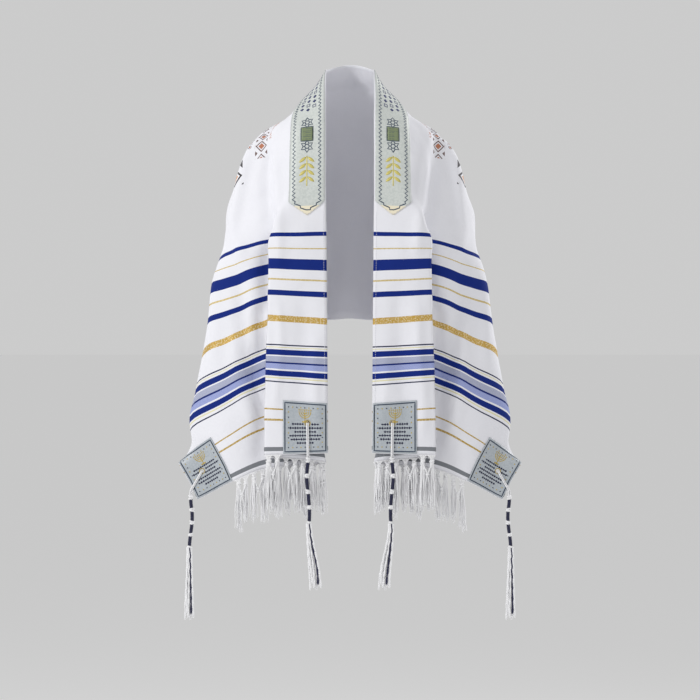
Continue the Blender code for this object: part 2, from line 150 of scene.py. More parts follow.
def addCamera():
    width = camera["framePixels"] * camera["millimetresPerPixel"] * mm
    middle = (camera["topPixel"] - camera["framePixels"] / 2) * camera["millimetresPerPixel"] * mm
    data = bpy.data.cameras.new("photoCamera")
    data.sensor_width = camera["sensor"]
    data.lens = camera["sensor"] * camera["distance"] / width
    item = bpy.data.objects.new("photoCamera", data)
    item.location = (0, -camera["distance"] - 0.1, middle)
    item.rotation_euler = (math.pi / 2, 0, 0)
    bpy.context.scene.collection.objects.link(item)
    bpy.context.scene.camera = item


addCamera()
print("camera placed")


# The draped cloth: one row for each section of the half shawl, in millimetres.
# along: way on the neck edge from the nape. edge: outer edge of the front panel. tuck: depth of the pleat
# behind it. drop: how much lower the side part comes out. roll: the turn round the arm or the shoulder.
# lap: the fold edge at the back. turn: the fold under it. hem: the long outer edge or just past it.

drape = {
    "halfLength": 920 * mm,
    "width": 560 * mm,
    "wall": 1.2 * mm,
    "frameWall": 1.5 * mm,
    "cellsAlong": 34,
    "finerAlong": 5,
    "finerAcross": 4,
    "cellsAcross": (3, 2, 1, 2, 1, 5, 5, 1, 4),
    "curveSteps": 14,
    "bandLine": 78 * mm,
    "pleatLayer": 14 * mm,
    "pleatStart": 14 * mm,
    "foldNose": 7 * mm,
    "edgeLineMin": 104 * mm,
    "tuckStretch": 30 * mm,
    "rollMin": 178 * mm,
    "rollMax": 490 * mm,
    "lapMax": 530 * mm,
    "frontBulge": 6,
    "neckRadiusX": 50,
    "neckRadiusY": 52,
    "neckDrop": 15,
    "neckArcSteps": 6,
    "neckFront": (
        # x, y, z
        (51, -78, -35), (51, -105, -75), (50, -130, -130), (50, -150, -200),
        (50, -161, -270), (49, -166, -360), (47, -168, -600), (45, -168, -860),
    ),
    "sections": (
        # along, edge x, y, z, tuck, drop, roll x, y, z, lap x, y, z, turn x, y, z, hem x, y, z
        (0, 0, 44, -52, 0, 0, 0, 66, -125, 0, 74, -240, 0, 70, -400, 0, 62, -560),
        (40, 46, 28, -54, 0, 0, 44, 58, -128, 42, 70, -242, 40, 67, -400, 40, 60, -560),
        (82, 74, -2, -62, 0, 0, 84, 34, -122, 84, 56, -236, 83, 58, -400, 82, 52, -560),
        (115, 98, -38, -78, 0, 0, 118, 10, -122, 118, 46, -232, 116, 50, -400, 115, 44, -560),
        (163, 114, -82, -104, 0, 0, 158, -40, -130, 168, 28, -215, 165, 38, -380, 163, 36, -560),
        (223, 112, -118, -138, 0, 0, 200, -55, -160, 212, 10, -235, 210, 18, -390, 214, 16, -560),
        (296, 115, -142, -204, 0, 0, 236, -60, -243, 196, 44, -300, 212, 26, -345, 232, 6, -520),
        (367, 118, -156, -274, 0, 0, 254, -62, -318, 172, 66, -400, 222, 38, -478, 234, 34, -520),
        (457, 167, -160, -363, 14, 9, 269, -62, -407, 162, 70, -490, 190, 50, -540, 200, 46, -560),
        (530, 169, -160, -428, 30, 9, 286, -62, -481, 152, 68, -575, 160, 52, -600, 166, 46, -615),
        (590, 170, -160, -487, 42, 10, 299, -64, -552, 180, 42, -650, 172, 46, -660, 160, 48, -675),
        (646, 171, -160, -540, 55, 9, 311, -66, -617, 235, 20, -700, 222, 28, -713, 205, 34, -730),
        (714, 174, -161, -611, 70, 9, 326, -68, -697, 280, -20, -760, 270, -12, -774, 255, -4, -790),
        (760, 175, -161, -654, 80, 15, 338, -72, -755, 318, -47, -796, 310, -40, -812, 300, -32, -828),
        (827, 177, -161, -721, 100, 17, 318, -88, -822, 345, -84, -839, 352, -83, -843, 362, -82, -849),
        (874, 178, -161, -777, 116, 22, 300, -98, -862, 322, -94, -875, 332, -92, -880, 342, -90, -886),
        (920, 178, -161, -827, 128, 29, 283, -103, -903, 303, -99, -914, 313, -97, -919, 324, -95, -925),
    ),
    "mirroredColumns": (1, 6, 9, 12, 15),
    "tuckShare": 0.15,  # where the pleat and the side part leave the run from edge to roll
    "sideShare": 0.4,
    "armShare": 0.55,
    "armOut": 14 * mm,
    "bulge": (60 * mm, 100 * mm, 0.22),  # the cloth swells behind the arm where it spans more than this
}


def neckWay():
    points = []
    for step in range(drape["neckArcSteps"] + 1):
        angle = math.pi / 2 * step / drape["neckArcSteps"]
        points.append(Vector((
            drape["neckRadiusX"] * math.sin(angle),
            -drape["neckRadiusY"] * (1 - math.cos(angle)),
            -drape["neckDrop"] * math.sin(angle) ** 2,
        )) * mm)
    points += [Vector(row) * mm for row in drape["neckFront"]]
    return Way(smoothCurve(points, drape["curveSteps"]))


def sectionRows():
    # two mirrored rows before the nape let the back run smoothly through it
    rows = []
    for row in reversed(drape["sections"][1:3]):
        mirrored = list(row)
        mirrored[0] = -row[0]
        for column in drape["mirroredColumns"]:
            mirrored[column] = -row[column]
        rows.append(mirrored)
    return rows + [list(row) for row in drape["sections"]]


neck = neckWay()
tableRows = sectionRows()


def sectionValues(along):
    position = along / mm
    index = clamp(bisect.bisect_right([row[0] for row in tableRows], position) - 1, 1, len(tableRows) - 2)
    low, high, before = tableRows[index], tableRows[index + 1], tableRows[index - 1]
    after = tableRows[index + 2] if index + 2 < len(tableRows) else None
    span = high[0] - low[0]
    part = (position - low[0]) / span
    values = []
    for column in range(1, len(low)):
        rise = (high[column] - low[column]) / span
        slopeLow = lerp((low[column] - before[column]) / (low[0] - before[0]), rise, 0.5)
        slopeHigh = lerp(rise, (after[column] - high[column]) / (after[0] - high[0]), 0.5) if after else rise
        values.append(
            (2 * part ** 3 - 3 * part ** 2 + 1) * low[column]
            + (part ** 3 - 2 * part ** 2 + part) * span * slopeLow
            + (3 * part ** 2 - 2 * part ** 3) * high[column]
            + (part ** 3 - part ** 2) * span * slopeHigh
        )
    return values


def armBulge(roll, lap):
    run = lap - roll
    out = Vector((-run.y, run.x, 0.0))
    if out.x < 0:
        out = -out
    spanFrom, spanOver, share = drape["bulge"]
    return out * share * ease((run.length - spanFrom) / spanOver)


def sectionAt(along):
    # the section's curve and the distances on it at which the cloth has a mesh line
    values = sectionValues(along)
    edge = Vector(values[0:3]) * mm
    tuck, drop = values[3] * mm, values[4] * mm
    roll, lap, turn, hem = (Vector(values[first:first + 3]) * mm for first in (5, 8, 11, 14))
    pleat = ease(tuck / drape["pleatStart"])
    layer = drape["pleatLayer"]
    tuckEnd = edge.lerp(roll, drape["tuckShare"]).lerp(edge + Vector((-tuck, layer, -drop / 2)), pleat)
    side = edge.lerp(roll, drape["sideShare"]).lerp(edge + Vector((2 * mm, 2 * layer, -drop)), pleat)
    start = neck.at(along)
    middle = start.lerp(edge, 0.5) + Vector((0, -drape["frontBulge"] * mm * pleat, 0))
    outward = (roll - edge).cross(Vector((0, 0, 1))).normalized()
    arm = side.lerp(roll, drape["armShare"]) + outward * drape["armOut"] * pleat
    behind = roll.lerp(lap, 0.5) + armBulge(roll, lap)
    steps, nose = drape["curveSteps"], drape["foldNose"]
    way = Way(smoothCurve([start, middle, edge, tuckEnd, side, arm, roll, behind, lap, turn, hem], steps))
    edgeAt = lerp(drape["edgeLineMin"], way.lengths[2 * steps], pleat)
    tuckLeast = edgeAt + drape["tuckStretch"]
    tuckAt = max(tuckLeast, lerp(tuckLeast, way.lengths[3 * steps], pleat))
    rollAt = clamp(way.lengths[6 * steps], drape["rollMin"], drape["rollMax"])
    lapAt = clamp(way.lengths[8 * steps], rollAt + 3 * nose, drape["lapMax"])
    anchors = (0.0, drape["bandLine"], edgeAt - nose, edgeAt + nose, tuckAt - nose, tuckAt + nose,
               rollAt, lapAt - nose, lapAt + nose, drape["width"])
    lines = [0.0]
    for near, far, cells in zip(anchors, anchors[1:], drape["cellsAcross"]):
        count = cells * drape["finerAcross"]
        lines += [lerp(near, far, (cell + 1) / count) for cell in range(count)]
    return way, lines


# Creases, listed one by one: distances in millimetres from the nape (minus is the wearer's right) and from
# the neck edge, at the start and the end, half width, and height (minus is a trough)

crease = {
    "gain": 2.8,
    "ends": (-0.12, 1.12),  # each runs out a little past its two ends
    "wander": 5,
}
creases = (
    (455, 152, 596, 222, 14, -5.2), (-450, 153, -600, 226, 15, -5.4),
    (590, 219, 716, 288, 15, -5.6), (-594, 223, -712, 290, 14, -5.8),
    (710, 286, 905, 388, 17, -5.4), (-706, 288, -905, 390, 16, -5.6),
    (215, 150, 455, 128, 15, -3.6), (-210, 152, -462, 127, 17, -4.0),
    (235, 190, 470, 235, 16, 2.6), (-228, 196, -500, 240, 15, 2.2),
    (250, 120, 520, 92, 14, 1.8), (-262, 118, -540, 96, 12, 1.5),
    (480, 250, 800, 330, 17, -3.0), (-500, 258, -790, 342, 18, -3.4),
    (455, 290, 690, 400, 20, 2.6), (-440, 300, -700, 395, 19, 2.9),
    (420, 340, 640, 455, 16, -2.6), (-430, 345, -620, 462, 17, -2.2),
    (600, 300, 905, 395, 15, 2.4), (-630, 305, -900, 388, 16, 2.7),
    (560, 60, 900, 66, 20, -2.2), (-575, 50, -905, 60, 22, -1.9),
    (620, 98, 880, 104, 11, 1.6), (-600, 100, -850, 106, 10, 1.4),
    (700, 25, 905, 20, 12, 1.3), (-680, 22, -900, 26, 12, 1.5),
    (60, 96, 118, 240, 16, -2.6), (-66, 94, -126, 250, 15, -2.8),
    (24, 120, 64, 330, 22, 2.0), (-18, 130, -58, 350, 20, 1.7),
    (2, 240, -6, 520, 26, -2.4), (88, 250, 92, 540, 20, -2.8),
    (-80, 260, -96, 545, 22, -3.0), (42, 380, 46, 556, 17, 2.6),
    (-44, 400, -40, 556, 16, 2.4), (130, 300, 138, 552, 15, 2.4), (-134, 310, -132, 552, 15, 2.7),
    (150, 96, 225, 180, 14, -2.4), (-152, 98, -230, 178, 13, -2.6),
    (180, 100, 300, 160, 12, 1.8), (-188, 102, -290, 158, 12, 1.7),
    (330, 250, 470, 360, 18, 3.0), (-320, 252, -460, 365, 18, 2.8),
    (300, 280, 410, 400, 13, -2.6), (-306, 276, -420, 410, 13, -2.4),
)


def creaseHeight(along, across):
    height = 0.0
    first, last = crease["ends"]
    for startAlong, startAcross, endAlong, endAcross, half, rise in creases:
        runAlong, runAcross = endAlong - startAlong, endAcross - startAcross
        length = math.hypot(runAlong, runAcross)
        toAlong, toAcross = along - startAlong, across - startAcross
        part = (toAlong * runAlong + toAcross * runAcross) / length ** 2
        if not first < part < last:
            continue
        wander = crease["wander"] * math.sin(part * 5.3 + startAcross)
        side = (toAlong * runAcross - toAcross * runAlong) / length + wander
        if abs(side) > 3 * half:
            continue
        fade = ease((part - first) / 0.35) * ease((last - part) / 0.3)
        height += rise * fade * math.exp(-(side / half) ** 2)
    # a faint ripple all over, waves of 75 to 160 mm
    ripple = 0.35 * math.sin(along * 0.047 + 1.7 * math.sin(across * 0.021)) * math.sin(across * 0.039 + 0.8)
    ripple += 0.25 * math.sin(along * 0.083 + across * 0.061)
    return (height * crease["gain"] + ripple) * mm


def buildSurface():
    cells = drape["cellsAlong"] * drape["finerAlong"]
    half = []
    for cell in range(cells + 1):
        along = drape["halfLength"] * cell / cells
        way, lines = sectionAt(along)
        half.append((along, lines, [way.at(across) for across in lines]))
    other = [(-along, lines, [Vector((-point.x, point.y, point.z)) for point in points])
             for along, lines, points in half[:0:-1]]
    return other + half


def surfaceNormals(places):
    normals = []
    for row in range(len(places)):
        low, high = places[max(row - 1, 0)], places[min(row + 1, len(places) - 1)]
        points = places[row]
        last = len(points) - 1
        normals.append([
            (high[c] - low[c]).cross(points[min(c + 1, last)] - points[max(c - 1, 0)]).normalized()
            for c in range(last + 1)])
    return normals


surface = buildSurface()
plainNormals = surfaceNormals([row[2] for row in surface])
alongs = [row[0] for row in surface]
acrossLines = [row[1] for row in surface]
places = [[point + normal * creaseHeight(along / mm, across / mm)
           for point, normal, across in zip(points, normals, lines)]
          for (along, lines, points), normals in zip(surface, plainNormals)]
normals = surfaceNormals(places)
print("cloth surface worked out:", len(places), "by", len(places[0]), "points")


def onCloth(along, across, out=0.0):
    step = drape["halfLength"] / (drape["cellsAlong"] * drape["finerAlong"])
    row = int(clamp(math.floor((along + drape["halfLength"]) / step + 1e-6), 0, len(places) - 2))
    part = clamp((along - alongs[row]) / step, 0.0, 1.0)
    lowLines, highLines = acrossLines[row], acrossLines[row + 1]
    column = bisect.bisect_right(lowLines, across + 1e-7) - 1
    column = clamp(column, 0, len(lowLines) - 2)
    near = lerp(lowLines[column], highLines[column], part)
    far = lerp(lowLines[column + 1], highLines[column + 1], part)
    side = clamp((across - near) / max(far - near, 1e-6), -0.5, 1.5)
    point = places[row][column].lerp(places[row][column + 1], side).lerp(
        places[row + 1][column].lerp(places[row + 1][column + 1], side), part)
    normal = normals[row][column].lerp(normals[row][column + 1], side).lerp(
        normals[row + 1][column].lerp(normals[row + 1][column + 1], side), part)
    return point + normal.normalized() * out


def linkMesh(name, mesh, materials, smooth=True):
    item = bpy.data.objects.new(name, mesh)
    for material in materials:
        mesh.materials.append(material)
    bpy.context.scene.collection.objects.link(item)
    if smooth:
        mesh.shade_smooth()
    return item


def sheetObject(name, rows, wall, materials):
    # rows of (point, along, across); the UV map holds real metres of the flat cut
    shape = bmesh.new()
    layer = shape.loops.layers.uv.new("cut")
    grid = [[shape.verts.new(cell[0]) for cell in row] for row in rows]
    for row in range(len(rows) - 1):
        for column in range(len(rows[0]) - 1):
            corners = ((row, column), (row + 1, column), (row + 1, column + 1), (row, column + 1))
            face = shape.faces.new([grid[r][c] for r, c in corners])
            for loop, (r, c) in zip(face.loops, corners):
                loop[layer].uv = (rows[r][c][1], rows[r][c][2])
    mesh = bpy.data.meshes.new(name)
    shape.to_mesh(mesh)
    shape.free()
    item = linkMesh(name, mesh, materials)
    solid = item.modifiers.new("wall", "SOLIDIFY")
    solid.thickness = wall
    solid.offset = 0.0
    solid.material_offset = len(materials) - 1
    return item


threadWall = 0.25 * mm  # sewn and printed threads
strokeStep = 5 * mm


class Strokes:
    # flat threads or print that lie on the cloth, gathered into one piece

    def __init__(self, lift):
        self.lift = lift
        self.shape = bmesh.new()

    def line(self, points, width, closed=False):
        # points are (along, across) in metres
        points = list(points)
        if closed:
            points = points + points[:2]
        dense = [points[0]]
        for near, far in zip(points, points[1:]):
            count = max(1, int(math.hypot(far[0] - near[0], far[1] - near[1]) / strokeStep))
            dense += [(lerp(near[0], far[0], (i + 1) / count), lerp(near[1], far[1], (i + 1) / count))
                      for i in range(count)]
        verts = []
        for index, (along, across) in enumerate(dense):
            before, after = dense[max(index - 1, 0)], dense[min(index + 1, len(dense) - 1)]
            run = (after[0] - before[0], after[1] - before[1])
            size = max(math.hypot(*run), 1e-9)
            side = (-run[1] / size * width / 2, run[0] / size * width / 2)
            verts.append([self.shape.verts.new(onCloth(along + s * side[0], across + s * side[1], self.lift))
                          for s in (-1, 1)])
        for low, high in zip(verts, verts[1:]):
            self.shape.faces.new((low[0], high[0], high[1], low[1]))

    def fill(self, centre, outline):
        # a flat figure around its centre, from outline points
        middle = self.shape.verts.new(onCloth(*centre, self.lift))
        ring = [self.shape.verts.new(onCloth(*point, self.lift)) for point in outline]
        for near, far in zip(ring, ring[1:] + ring[:1]):
            self.shape.faces.new((middle, near, far))

    def panel(self, centre, long, wide, cells=(8, 6)):
        # a flat oblong in small cells, so that it follows the cloth
        rows = [[self.shape.verts.new(onCloth(centre[0] + long * (x / cells[0] - 0.5),
                                              centre[1] + wide * (y / cells[1] - 0.5), self.lift))
                 for y in range(cells[1] + 1)] for x in range(cells[0] + 1)]
        for low, high in zip(rows, rows[1:]):
            for step in range(cells[1]):
                self.shape.faces.new((low[step], high[step], high[step + 1], low[step + 1]))

    def finish(self, name, material):
        item = finishShape(name, self.shape, [material])
        solid = item.modifiers.new("wall", "SOLIDIFY")
        solid.thickness = threadWall
        solid.offset = 0.0
        return item


def addTube(shape, points, radius, sides, slot=0, taper=1.0):
    # a closed round yarn along the points, drawn into a bmesh
    rings = []
    up = Vector((0, 1, 0))
    for index, point in enumerate(points):
        run = points[min(index + 1, len(points) - 1)] - points[max(index - 1, 0)]
        if run.length < 1e-9:
            run = Vector((0, 0, -1))
        run.normalize()
        first = run.cross(up)
        if first.length < 0.1:
            first = run.cross(Vector((1, 0, 0)))
        first.normalize()
        up = first.cross(run)
        size = radius * lerp(1.0, taper, index / max(len(points) - 1, 1))
        rings.append([shape.verts.new(point + (first * math.cos(a) + up * math.sin(a)) * size)
                      for a in (2 * math.pi * side / sides for side in range(sides))])
    faces = []
    for low, high in zip(rings, rings[1:]):
        for side in range(sides):
            after = (side + 1) % sides
            faces.append(shape.faces.new((low[side], low[after], high[after], high[side])))
    faces.append(shape.faces.new(list(reversed(rings[0]))))
    faces.append(shape.faces.new(rings[-1]))
    for face in faces:
        face.material_index = slot


def finishShape(name, shape, materials):
    bmesh.ops.recalc_face_normals(shape, faces=shape.faces)
    mesh = bpy.data.meshes.new(name)
    shape.to_mesh(mesh)
    shape.free()
    return linkMesh(name, mesh, materials)


# Materials

colours = {
    "white": "#ECECF1",
    "shadeWhite": "#DADAE2",
    "blue": "#04257A",
    "darkBlue": "#08246E",
    "gold": "#C7A24E",
    "ochre": "#B8994C",
    "paleGold": "#CDB77C",
    "fleck": "#E4DFB4",
    "dark": "#2E3350",
    "lightWeave": "#8795CF",
    "greyWeave": "#9DA3BE",
    "greyStrip": "#7E8186",
    "ink": "#241D1E",
    "brown": "#5A3322",
    "rust": "#B0602A",
    "plum": "#6E1F3F",
    "ember": "#E0912C",
    "ash": "#77787E",
    "band": "#D6DAD6",
    "bandTip": "#EFE6CC",
    "slate": "#3E4F63",
    "olive": "#7F8C66",
    "bandNavy": "#2A3468",
    "emblemGold": "#D9CC72",
    "patch": "#B9BFC4",
    "patchBorder": "#37455A",
    "navy": "#14183F",
    "motifGold": "#C9AC3C",
}

# Woven stripes on each end: from and to in millimetres from the nape, colour, share of metal thread
stripes = (
    (459, 468, "blue", 0.0), (493.5, 496.5, "paleGold", 0.5), (518, 541, "blue", 0.0),
    (560.5, 563.5, "paleGold", 0.5), (585, 596, "blue", 0.0), (639, 653, "gold", 0.7),
    (697.5, 700, "dark", 0.0), (703, 705, "fleck", 0.4), (708, 720, "blue", 0.0),
    (723, 735.5, "greyWeave", 0.0), (735.5, 739, "darkBlue", 0.0), (739, 751, "lightWeave", 0.0),
    (754, 766, "blue", 0.0), (769, 771, "fleck", 0.4), (776.5, 779, "dark", 0.0),
    (832, 835.5, "ochre", 0.5), (851, 854.5, "ochre", 0.5), (904.5, 912, "greyStrip", 0.0),
)

# Printed lozenge rows over the back and the shoulders, in millimetres: from and to across the cloth, pitch,
# reach each side of the nape, colour of the outlines, of the hearts, and of the hearts on the shoulder
printRows = (
    (96, 120, 24, 128, "ink", "brown", "brown"), (127, 137, 11, 236, "rust", "rust", "rust"),
    (144, 172, 29, 272, "brown", "ink", "rust"), (179, 190, 12, 250, "ink", "rust", "rust"),
    (198, 246, 46, 318, "ink", "plum", "ember"), (253, 264, 12, 172, "rust", "ink", "ink"),
    (272, 300, 29, 156, "brown", "ash", "ash"), (307, 318, 12, 140, "ash", "ink", "ink"),
    (326, 345, 20, 122, "ink", "rust", "rust"),
)
shoulderFrom = 214 * mm
printSpan = (90 * mm, 350 * mm)
stripeSpans = ((450 * mm, 675 * mm), (690 * mm, 920 * mm))  # a ramp holds 256 steps, so each covers a part


weave = {
    # sizes on the cloth; a wave texture's scale is worked out from the width of one thread
    "thread": 1.309 * mm,  # 0.4 mm in the real cloth, drawn this coarse so that it shows
    "threadDepth": 0.4 * mm,
    "check": 1.613 * mm,  # short white floats of the pale figured bands
    "checkShare": 0.3,
    "figured": ("lightWeave", "greyWeave"),
    "metalBreak": 3.03 * mm,
    "metalFrom": 0.54,  # the metal shows where the noise is above this
    "metalShare": 0.75,
    "metalTone": "#EFE6C6",
    "glint": 0.5,
    "roughness": 0.82,
    "smootherMetal": -0.4,
    "waver": 71.4 * mm,  # the wefts stray by 0.8 mm over this length
    "stray": 0.8 * mm,
    "blotch": 62.5 * mm,
    "blotchShare": 0.12,
    "blotchTone": "#C9CBDA",
    "rumple": 38.5 * mm,
    "rumpleDepth": 4 * mm,
    "rumpleStrength": 0.5,
    "bumpStrength": 0.2,  # of threads, ribs and plies
    "satinRib": 1.848 * mm,
    "ribDepth": 0.4 * mm,
    "ply": 1.963 * mm,  # in the sewn threads and cords
    "plyDepth": 0.3 * mm,
    # painted shade: the share of the thread's colour left in the grooves between the plies
    "paintedPlyShade": 0.85,
}
maths, mixer, noise = "ShaderNodeMath", "ShaderNodeMix", "ShaderNodeTexNoise"
plus, minus, times, over = ({"operation": name} for name in ("ADD", "SUBTRACT", "MULTIPLY", "DIVIDE"))
positive, above, larger = ({"operation": name} for name in ("ABSOLUTE", "GREATER_THAN", "MAXIMUM"))
timesPlus = {"operation": "MULTIPLY_ADD"}
mixColours = {"data_type": "RGBA"}


def setStops(node, stops, interpolation):
    # the last stop gives the colour at the low end
    ramp = node.color_ramp
    ramp.interpolation = interpolation
    for place, colour in stops[:-1]:
        ramp.elements.new(place).color = colour
    ramp.elements.remove(ramp.elements[-1])
    ramp.elements[0].position = 0.0
    ramp.elements[0].color = stops[-1][1]
    return node


def rowColours(tree, value, window, spans, plain):
    # hard steps inside a window: each span in its colour, the plain one around them; all in metres
    low, high = window
    share = addNode(tree, "ShaderNodeMapRange", links={0: value, 1: low, 2: high})
    stops = []
    for index, (start, end, colour) in enumerate(spans):
        stops.append(((start - low) / (high - low), colour))
        if index + 1 == len(spans) or spans[index + 1][0] - end > 0.1 * mm:
            stops.append(((end - low) / (high - low), plain))
    return setStops(addNode(tree, "ShaderNodeValToRGB", links={0: share}), stops + [(0.0, plain)], "CONSTANT")


def grey(value):
    return (value, value, value, 1.0)


prints = {
    # the figure in shares of a lozenge, from its middle
    "outline": 0.4,
    "outlineHalf": 0.055,
    "heart": 0.24,
    "corner": 0.8,
    "pitchUnit": 100,  # a ramp holds a row's pitch and reach as shares of these, in millimetres
    "reachUnit": 400,
    "grain": 9.0,
    "wear": 0.3,
    "ink": 1.05,
}


def addPrint(tree, along, across, cloth):
    # lozenges with a heart each; ink sinks into the weave, so it stays a little open
    def rows(pick):
        spans = [(row[0] * mm, row[1] * mm, pick(row)) for row in printRows]
        return rowColours(tree, across, printSpan, spans, grey(0.0))

    low, high = printSpan
    share = addNode(tree, "ShaderNodeMapRange", links={0: across, 1: low, 2: high})
    saw = []
    for row in printRows:
        start, end = ((place * mm - low) / (high - low) for place in row[:2])
        saw += [(start, grey(0.0)), (end, grey(1.0)), (end + 0.004, grey(0.0))]
    height = addNode(tree, "ShaderNodeValToRGB", links={0: share})
    setStops(height, saw + [(0.0, grey(0.0))], "LINEAR")
    away = addNode(tree, maths, positive, {0: along})
    # place in the lozenge, from its middle, along the row and up the row
    steps = addNode(tree, maths, larger, {0: rows(lambda row: grey(row[2] / prints["pitchUnit"])), 1: 0.05})
    pitch = addNode(tree, maths, times, {0: steps, 1: prints["pitchUnit"] * mm})
    turn = addNode(tree, maths, {"operation": "FRACT"}, {0: addNode(tree, maths, over, {0: away, 1: pitch})})
    side = addNode(tree, maths, positive, {0: addNode(tree, maths, minus, {0: turn, 1: 0.5})})
    rise = addNode(tree, maths, positive, {0: addNode(tree, maths, minus, {0: height, 1: 0.5})})
    far = addNode(tree, maths, plus, {0: side, 1: rise})
    outline = addNode(tree, maths, {"operation": "COMPARE"}, {
        0: far, 1: prints["outline"], 2: prints["outlineHalf"]})
    heart = addNode(tree, maths, {"operation": "LESS_THAN"}, {0: far, 1: prints["heart"]})
    corner = addNode(tree, maths, above, {0: far, 1: prints["corner"]})
    figure = addNode(tree, maths, larger, {0: outline, 1: heart})
    inked = addNode(tree, maths, larger, {0: figure, 1: corner})
    # each row ends at its own reach, and the ink is a little worn
    reaches = rows(lambda row: grey(row[3] / prints["reachUnit"]))
    reach = addNode(tree, maths, times, {0: reaches, 1: prints["reachUnit"] * mm})
    inside = addNode(tree, maths, {"operation": "LESS_THAN"}, {0: away, 1: reach})
    where = addNode(tree, "ShaderNodeTexCoord").outputs["Generated"]
    grain = addNode(tree, noise, links={"Vector": where, "Scale": prints["grain"], "Detail": 6.0})
    worn = addNode(tree, maths, timesPlus, {0: grain, 1: -prints["wear"], 2: prints["ink"]})
    printed = addNode(tree, maths, times, {0: addNode(tree, maths, times, {0: inked, 1: inside}), 1: worn})
    onShoulder = addNode(tree, maths, above, {0: away, 1: shoulderFrom})
    outlines, backHearts, shoulderHearts = (
        rows(lambda row: toLinear(colours[row[column]])) for column in (4, 5, 6))
    hearts = addNode(tree, mixer, mixColours, {0: onShoulder, 6: backHearts, 7: shoulderHearts})
    ink = addNode(tree, mixer, mixColours, {0: heart, 6: outlines, 7: hearts})
    return addNode(tree, mixer, mixColours, {0: printed, 6: cloth, 7: ink})


def wovenClothMaterial(name, printed):
    # woven polyester and acrylic: matt, slightly fuzzy, with a fine plain weave; coloured wefts lie in
    # the cloth and the metallic ones glint between white picks
    material, tree, shader = newMaterial(name)
    cut = addNode(tree, "ShaderNodeUVMap", {"uv_map": "cut"})
    split = addNode(tree, "ShaderNodeSeparateXYZ", links={0: cut})
    along, across = split.outputs[0], split.outputs[1]
    waver = addNode(tree, noise, links={"Vector": cut, "Scale": 1 / weave["waver"], "Detail": 1.0})
    stray = addNode(tree, maths, timesPlus, {0: waver, 1: 2 * weave["stray"], 2: -weave["stray"]})
    away = addNode(tree, maths, plus, {0: addNode(tree, maths, positive, {0: along}), 1: stray})
    pastFirst = addNode(tree, maths, above, {0: away, 1: stripeSpans[1][0]})

    def stripeRamp(pick, plain):
        first, second = (
            rowColours(tree, away, window, [
                (start * mm, end * mm, pick(tone, share)) for start, end, tone, share in stripes
                if window[0] < start * mm < window[1]], plain) for window in stripeSpans)
        return addNode(tree, mixer, mixColours, {0: pastFirst, 6: first, 7: second})

    colour = stripeRamp(lambda tone, share: toLinear(colours[tone]), toLinear(colours["white"]))
    metal = stripeRamp(lambda tone, share: grey(share), grey(0.0))
    figured = stripeRamp(lambda tone, share: grey(float(tone in weave["figured"])), grey(0.0))
    floats = addNode(tree, "ShaderNodeTexChecker", links={"Vector": cut, "Scale": 1 / weave["check"]})
    onTop = addNode(tree, maths, times, {0: floats.outputs[1], 1: figured})
    paler = addNode(tree, maths, times, {0: onTop, 1: weave["checkShare"]})
    colour = addNode(tree, mixer, mixColours, {0: paler, 6: colour, 7: toLinear(colours["white"])})
    # the metallic weft breaks every few millimetres
    picks = addNode(tree, noise, links={"Vector": cut, "Scale": 1 / weave["metalBreak"], "Detail": 2.0})
    gaps = addNode(tree, maths, above, {0: picks, 1: weave["metalFrom"]})
    metalShare = addNode(tree, maths, times, {0: metal, 1: weave["metalShare"]})
    broken = addNode(tree, maths, times, {0: gaps, 1: metalShare})
    colour = addNode(tree, mixer, mixColours, {0: broken, 6: colour, 7: toLinear(weave["metalTone"])})
    if printed:
        colour = addPrint(tree, along, across, colour)
    # the cloth's own tone drifts a little
    blotches = addNode(tree, noise, links={"Vector": cut, "Scale": 1 / weave["blotch"], "Detail": 3.0})
    drift = addNode(tree, maths, times, {0: blotches, 1: weave["blotchShare"]})
    colour = addNode(tree, mixer, {"data_type": "RGBA", "blend_type": "MULTIPLY"},
                     {0: drift, 6: colour, 7: toLinear(weave["blotchTone"])})
    glint = addNode(tree, maths, times, {0: metal, 1: weave["glint"]})
    rough = addNode(tree, maths, timesPlus, {0: metal, 1: weave["smootherMetal"], 2: weave["roughness"]})
    threadScale = math.pi / 20 / weave["thread"]
    warp, weft = (
        addNode(tree, "ShaderNodeTexWave", {"bands_direction": way}, {
            "Vector": cut, "Scale": threadScale, "Distortion": 1.0, "Detail": 1.0}).outputs[1]
        for way in ("X", "Y"))
    rumple = addNode(tree, noise, links={"Vector": cut, "Scale": 1 / weave["rumple"], "Detail": 2.0})
    soft = addNode(tree, "ShaderNodeBump", links={
        "Height": rumple, "Strength": weave["rumpleStrength"], "Distance": weave["rumpleDepth"]})
    bump = addNode(tree, "ShaderNodeBump", links={
        "Height": addNode(tree, maths, plus, {0: warp, 1: weft}), "Strength": weave["bumpStrength"],
        "Distance": weave["threadDepth"], "Normal": soft})
    linkShader(tree, shader, {"Base Color": colour, "Metallic": glint, "Roughness": rough, "Normal": bump,
                              "IOR": 1.5, "Specular IOR Level": 0.25, "Sheen Weight": 0.04,
                              "Sheen Roughness": 0.5})
    return material


